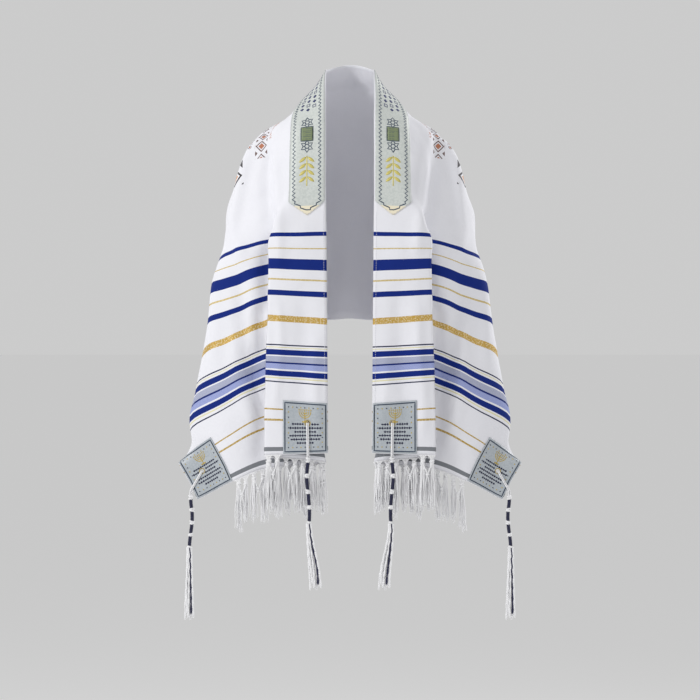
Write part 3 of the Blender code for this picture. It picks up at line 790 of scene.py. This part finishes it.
def jacquardMaterial(name, ground, figure, figureSize, gloss, figureShare, tipFrom=None):
    # jacquard or satin: a smooth warp face with a low sheen and a small woven figure in nearly the same tone
    material, tree, shader = newMaterial(name)
    cut = addNode(tree, "ShaderNodeUVMap", {"uv_map": "cut"})
    cells = addNode(tree, "ShaderNodeTexVoronoi", {"feature": "F1"}, {"Vector": cut, "Scale": 1 / figureSize})
    ribs = addNode(tree, "ShaderNodeTexWave", {"bands_direction": "DIAGONAL"},
                   {"Vector": cut, "Scale": math.pi / 10 / weave["satinRib"], "Distortion": 0.6}).outputs[1]
    share = addNode(tree, maths, times, {0: cells, 1: figureShare})
    colour = addNode(tree, mixer, mixColours, {0: share, 6: toLinear(ground), 7: toLinear(figure)})
    if tipFrom:
        along = addNode(tree, "ShaderNodeSeparateXYZ", links={0: cut}).outputs[0]
        past = addNode(tree, maths, above, {0: addNode(tree, maths, positive, {0: along}), 1: tipFrom})
        colour = addNode(tree, mixer, mixColours, {0: past, 6: colour, 7: toLinear(colours["bandTip"])})
    bump = addNode(tree, "ShaderNodeBump", links={
        "Height": ribs, "Strength": weave["bumpStrength"], "Distance": weave["ribDepth"]})
    linkShader(tree, shader, {"Base Color": colour, "Normal": bump, "Roughness": gloss, "IOR": 1.5,
                              "Sheen Weight": 0.1})
    return material


def threadMaterial(name, hexColour, roughness, metal=0.0):
    # twisted thread: fine slanting plies, matt unless it is metal; painted shade darkens the colour in the
    # grooves between the plies
    material, tree, shader = newMaterial(name)
    where = addNode(tree, "ShaderNodeTexCoord").outputs["Object"]
    plies = addNode(tree, "ShaderNodeTexWave", {"bands_direction": "DIAGONAL"},
                    {"Vector": where, "Scale": math.pi / 10 / weave["ply"], "Distortion": 0.4}).outputs[1]
    # painted shade: the colour dims where the plies dip, the low side of the same wave that sets the bump
    paintedGrooveShade = [channel * weave["paintedPlyShade"] for channel in toLinear(hexColour)[:3]] + [1.0]
    colour = addNode(tree, mixer, mixColours, {0: plies, 6: paintedGrooveShade, 7: toLinear(hexColour)})
    bump = addNode(tree, "ShaderNodeBump", links={
        "Height": plies, "Strength": weave["bumpStrength"], "Distance": weave["plyDepth"]})
    linkShader(tree, shader, {"Base Color": colour, "Normal": bump, "Roughness": roughness, "Metallic": metal,
                              "Sheen Weight": 0.15})
    return material


clothLook = wovenClothMaterial("wovenPolyesterAcrylic", True)
reverseLook = wovenClothMaterial("wovenReverse", False)
bandLook = jacquardMaterial("jacquardBand", colours["band"], "#BCC3BF", 3.846 * mm, 0.45, 0.8, 404 * mm)
patchLook = jacquardMaterial("wovenSatin", colours["patch"], "#98A1A9", 3.333 * mm, 0.38, 0.6)
slateThread = threadMaterial("slateThread", colours["slate"], 0.6)
borderThread = threadMaterial("borderThread", colours["patchBorder"], 0.6)
oliveThread = threadMaterial("oliveThread", colours["olive"], 0.55)
bandNavyThread = threadMaterial("bandNavyThread", colours["bandNavy"], 0.6)
goldThread = threadMaterial("goldMetallicThread", colours["motifGold"], 0.4, 0.35)
paleGoldThread = threadMaterial("paleGoldThread", colours["emblemGold"], 0.45, 0.2)
navyThread = threadMaterial("navyThread", colours["navy"], 0.6)
whiteThread = threadMaterial("whiteSpunYarn", "#F5F5F7", 0.75)
seamThread = threadMaterial("whiteSewingThread", colours["shadeWhite"], 0.65)
print("materials made")


def buildCloth():
    rows = [[(point, along, across) for point, across in zip(points, lines)]
            for along, lines, points in zip(alongs, acrossLines, places)]
    cloth = sheetObject("shawlCloth", rows, drape["wall"], [clothLook, reverseLook])
    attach(cloth, "root")
    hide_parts("shawl_cloth")
    return cloth


cloth = buildCloth()
print("cloth built")


# Neckband with zigzag borders and a generic ornament

neckband = {
    "start": 2 * mm,
    "end": 78 * mm,
    "halfLength": 396 * mm,
    "tip": 27 * mm,
    "wall": 0.9 * mm,
    "lift": 1.75 * mm,
    "borderInset": 11 * mm,
    "zigzag": 9.0 * mm,
    "zigzagRise": 5.6 * mm,
    "thread": 2.3 * mm,
    "threadLift": 0.12 * mm,
    "stitch": 2.6 * mm,
    "stitchThread": 0.7 * mm,
    "cells": (210, 12),
    "stars": (221 * mm, 277 * mm),  # from the nape, either side of the olive panel
    "starRadius": 13.5 * mm,
    "rosetteRadius": 5.5 * mm,
    "panelAt": 249 * mm,
    "panel": (31 * mm, 24 * mm),
    "bar": (5.5 * mm, 17 * mm, 9 * mm),  # long, wide, pitch
    "barThread": 0.9 * mm,
    "sprig": (298 * mm, 362 * mm),
    "leafFirst": 306 * mm,
    "leafPitch": 14 * mm,
    "leafOut": 8.5 * mm,
    "leaf": (19 * mm, 6.5 * mm),
    "lozengeRows": ((-1, 0.0), (0, 6.5 * mm), (1, 0.0)),  # row, shift along
    "lozengeFirst": 8 * mm,
    "lozengePitch": 13 * mm,
    "lozengeCount": 14,
    "lozengeRowPitch": 14 * mm,
    "lozenge": 4.6 * mm,
}


def bandLimits(along):
    # from and to across the band at this distance, narrowing to the pointed end
    past = clamp((abs(along) - neckband["halfLength"]) / neckband["tip"], 0.0, 1.0)
    middle = (neckband["start"] + neckband["end"]) / 2
    return lerp(neckband["start"], middle, past * 0.96), lerp(neckband["end"], middle, past * 0.96)


def buildBand():
    reach = neckband["halfLength"] + neckband["tip"]
    count, acrossCount = neckband["cells"]
    rows = []
    for cell in range(count + 1):
        along = lerp(-reach, reach, cell / count)
        low, high = bandLimits(along)
        row = []
        for step in range(acrossCount + 1):
            across = lerp(low, high, step / acrossCount)
            row.append((onCloth(along, across, neckband["lift"]), along, across))
        rows.append(row)
    band = sheetObject("neckbandBrocade", rows, neckband["wall"], [bandLook])
    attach(band, "root")
    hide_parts("neckband")
    return band


def zigzagLine(inset):
    # one closed way round the band, parallel to its edge
    points = []
    reach = neckband["halfLength"] + neckband["tip"] * 0.62
    count = int(2 * reach / neckband["zigzag"]) * 2
    for edge in (0, 1):
        for step in range(count + 1):
            along = lerp(-reach, reach, step / count) * (1 if edge == 0 else -1)
            low, high = bandLimits(along)
            tooth = neckband["zigzagRise"] * (1 if step % 2 else -1) / 2
            across = low + inset + tooth if edge == 0 else high - inset + tooth
            points.append((along, clamp(across, low + 2 * mm, high - 2 * mm)))
    return points


def rosette(centre, radius, petals, deep):
    # outline of a petalled figure round a centre
    points = []
    for step in range(petals * 8):
        angle = 2 * math.pi * step / (petals * 8)
        size = radius * (1 - deep * (0.5 + 0.5 * math.cos(petals * angle)))
        points.append((centre[0] + size * math.cos(angle), centre[1] + size * math.sin(angle)))
    return points


def leaf(centre, angle, length, width):
    # pointed leaf outline along an angle
    points = []
    for side in (1, -1):
        for step in range(8):
            part = step / 8 if side > 0 else 1 - step / 8
            out = side * width / 2 * math.sin(math.pi * part) ** 0.8
            reach = length * (part - 0.5)
            points.append((centre[0] + reach * math.cos(angle) - out * math.sin(angle),
                           centre[1] + reach * math.sin(angle) + out * math.cos(angle)))
    return points


def square(centre, size, turn=0.0):
    return [(centre[0] + size * math.cos(turn + math.pi / 4 + quarter * math.pi / 2),
             centre[1] + size * math.sin(turn + math.pi / 4 + quarter * math.pi / 2)) for quarter in range(4)]


def star(centre, radius):
    # outline of a six-pointed star
    return [(centre[0] + (radius if step % 2 == 0 else radius * 0.577) * math.cos(math.pi * step / 6),
             centre[1] + (radius if step % 2 == 0 else radius * 0.577) * math.sin(math.pi * step / 6))
            for step in range(12)]


def oblong(centre, long, wide):
    return [(centre[0] + x * long / 2, centre[1] + y * wide / 2)
            for x, y in ((-1, -1), (1, -1), (1, 1), (-1, 1))]


def bandOrnament():
    lift = neckband["lift"] + neckband["wall"] / 2 + neckband["threadLift"]
    middle = (neckband["start"] + neckband["end"]) / 2
    thread = neckband["thread"]
    panelLong, panelWide = neckband["panel"]
    barLong, barWide, barPitch = neckband["bar"]
    slate, olive, gold, navy = (Strokes(lift) for _ in range(4))
    slate.line(zigzagLine(neckband["borderInset"]), thread, closed=True)
    for side in (-1, 1):
        for place in neckband["stars"]:
            centre = (side * place, middle)
            slate.line(star(centre, neckband["starRadius"]), thread, closed=True)
            slate.line(rosette(centre, neckband["rosetteRadius"], 6, 0.3), thread * 0.8, closed=True)
        centre = (side * neckband["panelAt"], middle)
        olive.panel(centre, panelLong, panelWide)
        slate.line(oblong(centre, panelLong + 1 * mm, panelWide + 1 * mm), thread, closed=True)
        for step in (-1, 0, 1):
            place = (centre[0] + step * barPitch, middle)
            slate.line(oblong(place, barLong, barWide), neckband["barThread"], closed=True)
        # a gold sprig near each end
        for step in range(4):
            for turn in (-1, 1):
                place = (side * (neckband["leafFirst"] + neckband["leafPitch"] * step),
                         middle + turn * neckband["leafOut"])
                gold.fill(place, leaf(place, side * turn * 0.9, *neckband["leaf"]))
        gold.line([(side * end, middle) for end in neckband["sprig"]], thread)
        # navy lozenges and leaves in three rows up to the nape
        for row, shift in neckband["lozengeRows"]:
            for step in range(neckband["lozengeCount"]):
                place = (side * (neckband["lozengeFirst"] + shift + neckband["lozengePitch"] * step),
                         middle + row * neckband["lozengeRowPitch"])
                if (step + row) % 3:
                    navy.fill(place, square(place, neckband["lozenge"], math.pi / 4))
                else:
                    navy.line(rosette(place, neckband["lozenge"] + 0.2 * mm, 4, 0.4), 1.3 * mm, closed=True)
    stitches = Strokes(lift)
    reach = neckband["halfLength"] + neckband["tip"]
    count = int(2 * reach / (1.7 * neckband["stitch"]))
    for step in range(count):
        along = lerp(-reach, reach, (step + 0.5) / count)
        for edge in (0, 1):
            ends = []
            for shift in (-0.5, 0.5):
                at = along + shift * neckband["stitch"]
                low, high = bandLimits(at)
                ends.append((at, low + 2 * mm if edge == 0 else high - 2 * mm))
            if ends[0][1] < ends[1][1] + 6 * mm:
                stitches.line(ends, neckband["stitchThread"])
    pieces = [slate.finish("neckbandZigzag", slateThread), olive.finish("neckbandBlocks", oliveThread),
              gold.finish("neckbandSprigs", paleGoldThread), navy.finish("neckbandLozenges", bandNavyThread),
              stitches.finish("neckbandStitches", seamThread)]
    for piece in pieces:
        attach(piece, "root")
    return pieces


band = buildBand()
bandPieces = bandOrnament()
print("neckband built")


# Corner patches: satin, slate border, dots, a gold lamp, navy lozenges and leaves

patch = {
    "along": 102 * mm,
    "across": 92 * mm,
    "inset": 1.5 * mm,
    "wall": 0.9 * mm,
    "lift": {"inner": 1.7 * mm, "outer": 2.0 * mm},
    "cells": (34, 30),
    "threadLift": 0.12 * mm,
    "borderWidth": 2.4 * mm,
    "borderShare": 0.04,  # shares of the patch, from its edge
    "dotShare": 0.12,
    "dots": 9,
    "dot": 1.3 * mm,
    "lampAt": (0.27, 0.5),
    "lampThread": 1.5 * mm,
    "lampStem": (9 * mm, -12 * mm),
    "lampBows": (4.5, 8.5, 12.5),  # millimetres
    "flamePitch": 4.2 * mm,
    "rows": (11, 13, 9, 13, 12, 7),  # figures in each row under the lamp
    "rowFirst": 0.43,
    "rowPitch": 0.073,
    "figurePitch": 0.056,
    "lozenge": 2.7 * mm,
    "leaf": (5.8 * mm, 3.2 * mm),
    "eyeletClear": 8 * mm,
    "eyeletStitches": 26,
    "eyeletStitch": (4.7, 7.0, 0.8),  # from, to, thread, in millimetres
    "eyeletRadius": 4.5 * mm,
    "eyelets": {"inner": (858 * mm, 42 * mm), "outer": (869 * mm, 524 * mm)},
}


def eyeletPins():
    shape = bmesh.new()
    for side in (-1, 1):
        for kind, (along, across) in patch["eyelets"].items():
            inner, outer = onCloth(side * along, across, -12 * mm), onCloth(side * along, across, 12 * mm)
            pin = bmesh.ops.create_cone(shape, cap_ends=True, segments=24, radius1=patch["eyeletRadius"],
                                        radius2=patch["eyeletRadius"], depth=(outer - inner).length)
            turn = (outer - inner).to_track_quat("Z", "Y")
            for vert in pin["verts"]:
                vert.co = turn @ vert.co + (inner + outer) / 2
    mesh = bpy.data.meshes.new("eyeletPins")
    shape.to_mesh(mesh)
    shape.free()
    return linkMesh("eyeletPins", mesh, [], smooth=False)


def applyModifiers(item):
    graph = bpy.context.evaluated_depsgraph_get()
    mesh = bpy.data.meshes.new_from_object(item.evaluated_get(graph))
    old = item.data
    item.modifiers.clear()
    item.data = mesh
    mesh.name = old.name
    bpy.data.meshes.remove(old)


def cutEyelets(items):
    pins = eyeletPins()
    for item in items:
        hole = item.modifiers.new("eyelets", "BOOLEAN")
        hole.operation = "DIFFERENCE"
        hole.solver = "EXACT"
        hole.object = pins
    for item in items:
        applyModifiers(item)
    bpy.data.objects.remove(pins, do_unlink=True)


def buildPatch(side, kind):
    last = drape["halfLength"] - patch["inset"]
    first = last - patch["along"]
    start = patch["inset"] if kind == "inner" else drape["width"] - patch["inset"] - patch["across"]
    name = "cornerPatch%s%s" % (kind.capitalize(), "Left" if side > 0 else "Right")
    lift = patch["lift"][kind]
    rows = []
    longCells, wideCells = patch["cells"]
    acrossSteps = [start + patch["across"] * step / wideCells for step in range(wideCells + 1)]
    for cell in range(longCells + 1):
        along = side * lerp(first, last, cell / longCells if side > 0 else 1 - cell / longCells)
        rows.append([(onCloth(along, across, lift), along, across) for across in acrossSteps])
    item = sheetObject(name, rows, patch["wall"], [patchLook])
    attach(item, "root")
    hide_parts("corner_patch_%s_%s" % (kind, "left" if side > 0 else "right"))

    def at(downShare, acrossShare):
        return side * lerp(first, last, downShare), start + patch["across"] * acrossShare

    faceLift = lift + patch["wall"] / 2 + patch["threadLift"]
    border, gold, navy = (Strokes(faceLift) for _ in range(3))
    low, high = patch["borderShare"], 1 - patch["borderShare"]
    corners = [at(low, low), at(high, low), at(high, high), at(low, high)]
    border.line(corners, patch["borderWidth"], closed=True)
    low, high = patch["dotShare"], 1 - patch["dotShare"]
    for step in range(patch["dots"]):
        share = lerp(low, high, step / (patch["dots"] - 1))
        for place in (at(share, low), at(share, high), at(low, share), at(high, share)):
            tone = gold if step % 2 else navy
            tone.fill(place, rosette(place, patch["dot"], 4, 0.1))
    # a seven-armed lamp in gold at the top: nested bows on a stem and a foot
    lamp = at(*patch["lampAt"])
    up = -side
    top, foot = ((lamp[0] + up * end, lamp[1]) for end in patch["lampStem"])
    gold.line([top, foot], patch["lampThread"])
    gold.fill(foot, oblong(foot, 2.4 * mm, 12 * mm))
    for radius in patch["lampBows"]:
        bow = [(lamp[0] + up * (8 - radius * math.cos(turn)) * mm, lamp[1] + radius * mm * math.sin(turn))
               for turn in (math.pi / 2 * (step / 8 - 1) for step in range(17))]
        gold.line(bow, patch["lampThread"])
    for step in range(-3, 4):
        flame = (lamp[0] + up * 11 * mm, lamp[1] + step * patch["flamePitch"])
        gold.fill(flame, leaf(flame, 0.0, 4.2 * mm, 2.2 * mm))
    # rows of navy lozenges and leaves
    eyeletAlong, eyeletAcross = patch["eyelets"][kind]
    for row, count in enumerate(patch["rows"]):
        for step in range(count):
            place = at(patch["rowFirst"] + row * patch["rowPitch"],
                       0.5 + (step - (count - 1) / 2) * patch["figurePitch"])
            if math.hypot(abs(place[0]) - eyeletAlong, place[1] - eyeletAcross) < patch["eyeletClear"]:
                continue
            if (row + step) % 3:
                navy.fill(place, square(place, patch["lozenge"], math.pi / 4))
            else:
                navy.fill(place, leaf(place, math.pi / 2, *patch["leaf"]))
    # the worked edge of the eyelet
    near, far, thread = patch["eyeletStitch"]
    for step in range(patch["eyeletStitches"]):
        angle = 2 * math.pi * step / patch["eyeletStitches"]
        gold.line([(side * (eyeletAlong + size * mm * math.cos(angle)),
                    eyeletAcross + size * mm * math.sin(angle)) for size in (near, far)], thread * mm)
    pieces = [border.finish(name + "Border", borderThread), gold.finish(name + "Sprig", goldThread),
              navy.finish(name + "Lozenges", navyThread)]
    for piece in pieces:
        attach(piece, "root")
    return item, pieces


patches, patchPieces = {}, []
for side in (-1, 1):
    for kind in ("inner", "outer"):
        patches[side, kind], extra = buildPatch(side, kind)
        patchPieces += extra
cutEyelets([cloth] + list(patches.values()))
print("corner patches built, eyelets cut")


# Corner tassels

tassel = {
    "threadRadius": 0.95 * mm,
    "threads": 4,
    "navyThread": 2,
    "threadPitch": 1.25 * mm,
    "cordClear": 1.1 * mm,
    "overPatch": 1.35 * mm,
    "rimShift": 24 * mm,  # the outer loop leaves over the long edge
    "cordRadius": 1.2 * mm,
    "strands": 8,
    "strandSteps": 40,
    "strandRadius": 1.5 * mm,
    "plyOut": 0.9 * mm,
    "plyTurn": 0.5,
    "navyStrand": 5,
    "pitchAtKnot": 1.2 * mm,
    "layer": 1.9 * mm,
    "head": 141 * mm,
    "headSway": 3 * mm,
    # windings and knots in millimetres below the head's top, times its length scale
    "windings": ((12, 35), (44, 67), (76, 100), (109, 133)),
    "knots": (3, 9, 38, 42, 70, 74, 103, 107, 137),
    "coreRadius": 2.6 * mm,
    "windRadius": 1.15 * mm,
    "windPitch": 2.1 * mm,
    "knotRadius": 1.9 * mm,
    "knotRing": 3.4 * mm,
    "corners": {
        # drop of the head's top below the eyelet, head length scale, strand length, sway, pitch at the ends
        "inner": (70 * mm, 1.0, 136 * mm, -14 * mm, 2.9 * mm),
        "outer": (50 * mm, 0.8, 150 * mm, 0 * mm, 2.2 * mm),
    },
}


def loop(centre, wide, deep, tilt, phase, steps, start=0.0):
    # one closed, tilted turn of yarn round a centre
    return [centre + Vector((wide * math.cos(angle), deep * math.sin(angle), tilt * math.sin(angle + phase)))
            for angle in (start + 2 * math.pi * step / steps for step in range(steps + 1))]


def helix(axis, top, bottom, radius, pitch, sides):
    turns = max(1, int(round((bottom - top) / pitch)))
    points = []
    for step in range(turns * sides + 1):
        angle = 2 * math.pi * step / sides
        points.append(axis(lerp(top, bottom, step / (turns * sides)))
                      + Vector((radius * math.cos(angle), radius * math.sin(angle), 0)))
    return points


def buildTassel(side, kind):
    drop, scale, length, sway, pitch = tassel["corners"][kind]
    along, across = patch["eyelets"][kind]
    backLift = drape["frameWall"] / 2 + tassel["cordClear"] + tassel["cordRadius"]
    lift = backLift + tassel["overPatch"]
    if kind == "inner":
        rimAlong, rimAcross = drape["halfLength"], across
    else:
        rimAlong, rimAcross = along + tassel["rimShift"], drape["width"]
    hole = onCloth(side * along, across)
    rim, rimFront, rimBack = (onCloth(side * rimAlong, rimAcross, out) for out in (0, lift, -backLift))
    front, back = onCloth(side * along, across, lift), onCloth(side * along, across, -backLift)
    beyond = (rim - hole).normalized() * 5 * mm
    top = Vector((rim.x + beyond.x * 1.6, rim.y, hole.z - drop))
    down = Vector((0, 0, -3 * mm))
    spread = Vector((0, 1.6 * mm, 0))
    route = [top + down - spread, top - spread - down, rimFront + beyond, rimFront.lerp(front, 0.5),
             front + (rimFront - front) * 0.08, front.lerp(hole, 0.5), hole, back.lerp(hole, 0.5),
             back + (rimBack - back) * 0.08, rimBack.lerp(back, 0.5), rimBack + beyond,
             top + spread - down, top + down + spread]
    shape = bmesh.new()
    cord = smoothCurve(route, 5)
    for number in range(tassel["threads"]):
        shift = Vector(((number - 1.5) * tassel["threadPitch"], 0.5 * mm * (-1) ** number, 0))
        slot = 1 if number == tassel["navyThread"] else 0
        addTube(shape, [point + shift for point in cord], tassel["threadRadius"], 7, slot=slot)
    long = tassel["head"] * scale

    def axis(below):
        # the head hangs in a slight wave
        part = below / long
        wave = math.sin(part * 5.2 + (0.4 if kind == "inner" else 2.6)) * ease(part * 3)
        return top + Vector((side * tassel["headSway"] * wave, 0, -below))

    addTube(shape, [axis(long * step / 30) for step in range(31)], tassel["coreRadius"], 12)
    for start, end in tassel["windings"]:
        turns = helix(axis, start * mm * scale, end * mm * scale, tassel["coreRadius"] + 0.3 * mm,
                      tassel["windPitch"], 16)
        addTube(shape, turns, tassel["windRadius"], 6, slot=1)
    for number, below in enumerate(tassel["knots"]):
        centre = axis(below * mm * scale)
        turn = loop(centre, tassel["knotRing"], tassel["knotRing"], 1.5 * mm, number * 1.3, 18, start=number)
        addTube(shape, turn, tassel["knotRadius"], 9)
    foot = axis(long)
    for number in range(tassel["strands"]):
        place = number - (tassel["strands"] - 1) / 2
        reach = length * (1 - 0.03 * ((number * 3) % 4))
        points = []
        for step in range(tassel["strandSteps"] + 1):
            part = step / tassel["strandSteps"]
            wave = 1.1 * mm * math.sin(part * 5 + number * 2.1) * part
            apart = place * lerp(tassel["pitchAtKnot"], pitch, ease(part * 1.3))
            point = foot + Vector((apart + wave, tassel["layer"] * (-1) ** number + wave * 0.6, 0))
            point += Vector((side * sway * ease(part), 0, 3 * mm - (reach + 3 * mm) * part))
            points.append(point)
        for ply in (0, math.pi):
            turns = [step * tassel["plyTurn"] + ply for step in range(len(points))]
            twist = [point + Vector((math.cos(turn), math.sin(turn), 0)) * tassel["plyOut"]
                     for point, turn in zip(points, turns)]
            slot = 1 if number == tassel["navyStrand"] else 0
            addTube(shape, twist, tassel["strandRadius"], 8, slot=slot, taper=0.92)
    name = "cornerTassel%s%s" % (kind.capitalize(), "Left" if side > 0 else "Right")
    item = finishShape(name, shape, [whiteThread, navyThread])
    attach(item, "root")
    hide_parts("corner_tassel_%s_%s" % (kind, "left" if side > 0 else "right"))
    return item


tassels = [buildTassel(side, kind) for side in (-1, 1) for kind in ("inner", "outer")]
print("corner tassels built")


# Knotted fringes

fringe = {
    "start": 97 * mm,
    "end": 463 * mm,
    "bunches": 20,
    "gap": 1.2 * mm,
    "length": 117 * mm,
    "knotDrop": 13 * mm,
    "knotHeight": 9 * mm,
    "yarns": 13,
    "yarnRadius": 1.4 * mm,
    "yarnSteps": 14,
    "edgeRadius": 1.3 * mm,
    "legs": (-0.38, -0.13, 0.13, 0.38),  # shares of a bunch's pitch
    "wraps": 3,
    "wrapSize": 3.1,
    "wrapRadius": 2.0 * mm,
    "netRadius": 1.4 * mm,
    "netReach": 26 * mm,
}


def buildFringe(side):
    shape = bmesh.new()
    edgeLine = [onCloth(side * drape["halfLength"], lerp(fringe["start"], fringe["end"], step / 160))
                + Vector((0, 0, -fringe["gap"])) for step in range(161)]
    addTube(shape, edgeLine, fringe["edgeRadius"], 7)  # overcast edge
    pitch = (fringe["end"] - fringe["start"]) / fringe["bunches"]
    knots = []
    for number in range(fringe["bunches"]):
        across = fringe["start"] + pitch * (number + 0.5)
        root = onCloth(side * drape["halfLength"], across)
        sway = Vector((math.sin(number * 1.7), 0.4 * math.cos(number * 2.3), 0)) * 2 * mm
        drop = fringe["knotDrop"] + 3 * mm * math.sin(number * 2.9)
        knot = root + sway * 0.5 + Vector((0, 0, -drop))
        knots.append(knot)
        # legs from the edge into the knot
        for shift in fringe["legs"]:
            start = onCloth(side * drape["halfLength"], across + shift * pitch)
            legs = smoothCurve([start, start.lerp(knot, 0.5) + Vector((0, 0, 1.5 * mm)), knot], 4)
            addTube(shape, legs, fringe["yarnRadius"] * 1.1, 6)
        # the knot: crossed wraps
        for wrap in range(fringe["wraps"]):
            centre = knot + Vector((0, 0, -fringe["knotHeight"] * (wrap - 0.5) / fringe["wraps"]))
            size = (fringe["wrapSize"] + 0.5 * math.sin(number + wrap * 2)) * mm
            turn = loop(centre, size, size * 0.8, 1.4 * mm, number + wrap * 2.2, 14)
            addTube(shape, turn, fringe["wrapRadius"], 8)
        length = fringe["length"] * (0.92 + 0.08 * math.sin(number * 2.4)) - drop
        for yarn in range(fringe["yarns"]):
            ringed = yarn % 2
            angle = 2 * math.pi * yarn / fringe["yarns"] + number
            out = Vector((math.cos(angle), 0.65 * math.sin(angle), 0)) * (1.0 if ringed else 0.55)
            reach = length * random.uniform(0.84, 1.0)
            lean = Vector((random.uniform(-1, 1), random.uniform(-0.4, 0.4), 0)) * 4 * mm
            phase, turns = random.uniform(0, 6), random.uniform(7, 12)
            points = []
            for step in range(fringe["yarnSteps"] + 1):
                part = step / fringe["yarnSteps"]
                wave = 1.1 * mm * math.sin(part * turns + phase) * part
                point = knot + out * (2.2 * mm + 4.2 * mm * math.sin(min(part * 1.3, 1.0) * 1.8))
                point += (lean + sway) * part * part
                points.append(point + Vector((wave, wave * 0.5, -reach * part)))
            addTube(shape, points, fringe["yarnRadius"], 6, taper=0.55)
    # netting between some neighbours
    for number in range(0, len(knots) - 1, 2):
        near, far = knots[number], knots[number + 1]
        if (near - far).length > fringe["netReach"]:
            continue
        low = (near + far) / 2 + Vector((0, -4.5 * mm, -27 * mm - 4 * mm * math.sin(number)))
        for start in (near, far):
            strand = smoothCurve([start + Vector((0, -4 * mm, -4 * mm)),
                                  start.lerp(low, 0.5) + Vector((0, -1.5 * mm, -2 * mm)), low], 5)
            addTube(shape, strand, fringe["netRadius"], 6)
        addTube(shape, loop(low, 2.2 * mm, 1.2 * mm, 1.2 * mm, number, 12), 1.8 * mm, 8)
        for tail in (-1, 1):
            end = low + Vector((tail * 3 * mm, -1 * mm, -34 * mm - 5 * mm * math.cos(number + tail)))
            addTube(shape, smoothCurve([low, low.lerp(end, 0.5) + Vector((tail * 2 * mm, 0, 0)), end], 6),
                    1.2 * mm, 6, taper=0.5)
    name = "knottedFringe%s" % ("Left" if side > 0 else "Right")
    item = finishShape(name, shape, [whiteThread])
    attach(item, "root")
    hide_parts("fringe_%s" % ("left" if side > 0 else "right"))
    return item


fringes = [buildFringe(side) for side in (-1, 1)]
print("fringes built")


# Hem stitches along the long edges, where no band or patch covers them

hems = {
    "inset": 6 * mm,
    "stitch": 3 * mm,
    "pitch": 5 * mm,
    "thread": 0.7 * mm,
    "clear": 4 * mm,
}


def buildHems():
    stitches = Strokes(drape["wall"] / 2 + 0.1 * mm)
    for inset in (hems["inset"], drape["width"] - hems["inset"]):
        along = -drape["halfLength"] + hems["clear"]
        while along < drape["halfLength"] - hems["inset"]:
            hidden = inset < neckband["end"] and abs(along) < neckband["halfLength"] + 20 * mm
            if not hidden and abs(along) < drape["halfLength"] - patch["along"] - hems["clear"]:
                stitches.line([(along, inset), (along + hems["stitch"], inset)], hems["thread"])
            along += hems["pitch"]
    piece = stitches.finish("hemStitches", seamThread)
    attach(piece, "root")
    return piece


hem = buildHems()
print("hems stitched")


# Studio: pale floor and plain soft light

studio = {
    "floorDrop": -2.1,
    "floorSize": 900.0,
    "floorColour": "#FBFBFB",
    "worldColour": "#FFFFFF",
    "worldStrength": 0.6,
    "lights": (
        # name, place, watts, size
        ("keyLight", (-3.0, -1.9, 1.5), 70.0, 0.8),
        ("fillLight", (2.4, -2.9, 0.6), 9.0, 1.2),
        ("backKeyLight", (3.0, 1.9, 1.5), 66.0, 0.8),
        ("backFillLight", (-2.4, 2.9, 0.6), 9.0, 1.2),
    ),
}


def addLight(name, place, power, size):
    data = bpy.data.lights.new(name, "AREA")
    data.energy = power
    data.size = size
    item = bpy.data.objects.new(name, data)
    item.location = place
    item.rotation_euler = (Vector((0, 0, -0.6)) - Vector(place)).to_track_quat("-Z", "Y").to_euler()
    bpy.context.scene.collection.objects.link(item)


def buildStudio():
    shape = bmesh.new()
    bmesh.ops.create_grid(shape, x_segments=1, y_segments=1, size=studio["floorSize"])
    mesh = bpy.data.meshes.new("floor")
    shape.to_mesh(mesh)
    shape.free()
    material, tree, shader = newMaterial("paleFloor")
    shader.inputs["Base Color"].default_value = toLinear(studio["floorColour"])
    shader.inputs["Specular IOR Level"].default_value = 0.0
    shader.inputs["Roughness"].default_value = 0.9
    floor = linkMesh("floor", mesh, [material], smooth=False)
    floor.location = (0, 0, studio["floorDrop"])
    for name, place, power, size in studio["lights"]:
        addLight(name, place, power, size)
    world = bpy.data.worlds.new("studio")
    world.use_nodes = True
    sky = world.node_tree.nodes["Background"]
    sky.inputs[0].default_value = toLinear(studio["worldColour"])
    sky.inputs[1].default_value = studio["worldStrength"]
    bpy.context.scene.world = world
    bpy.context.scene.view_settings.view_transform = "Standard"


buildStudio()
print("studio set")
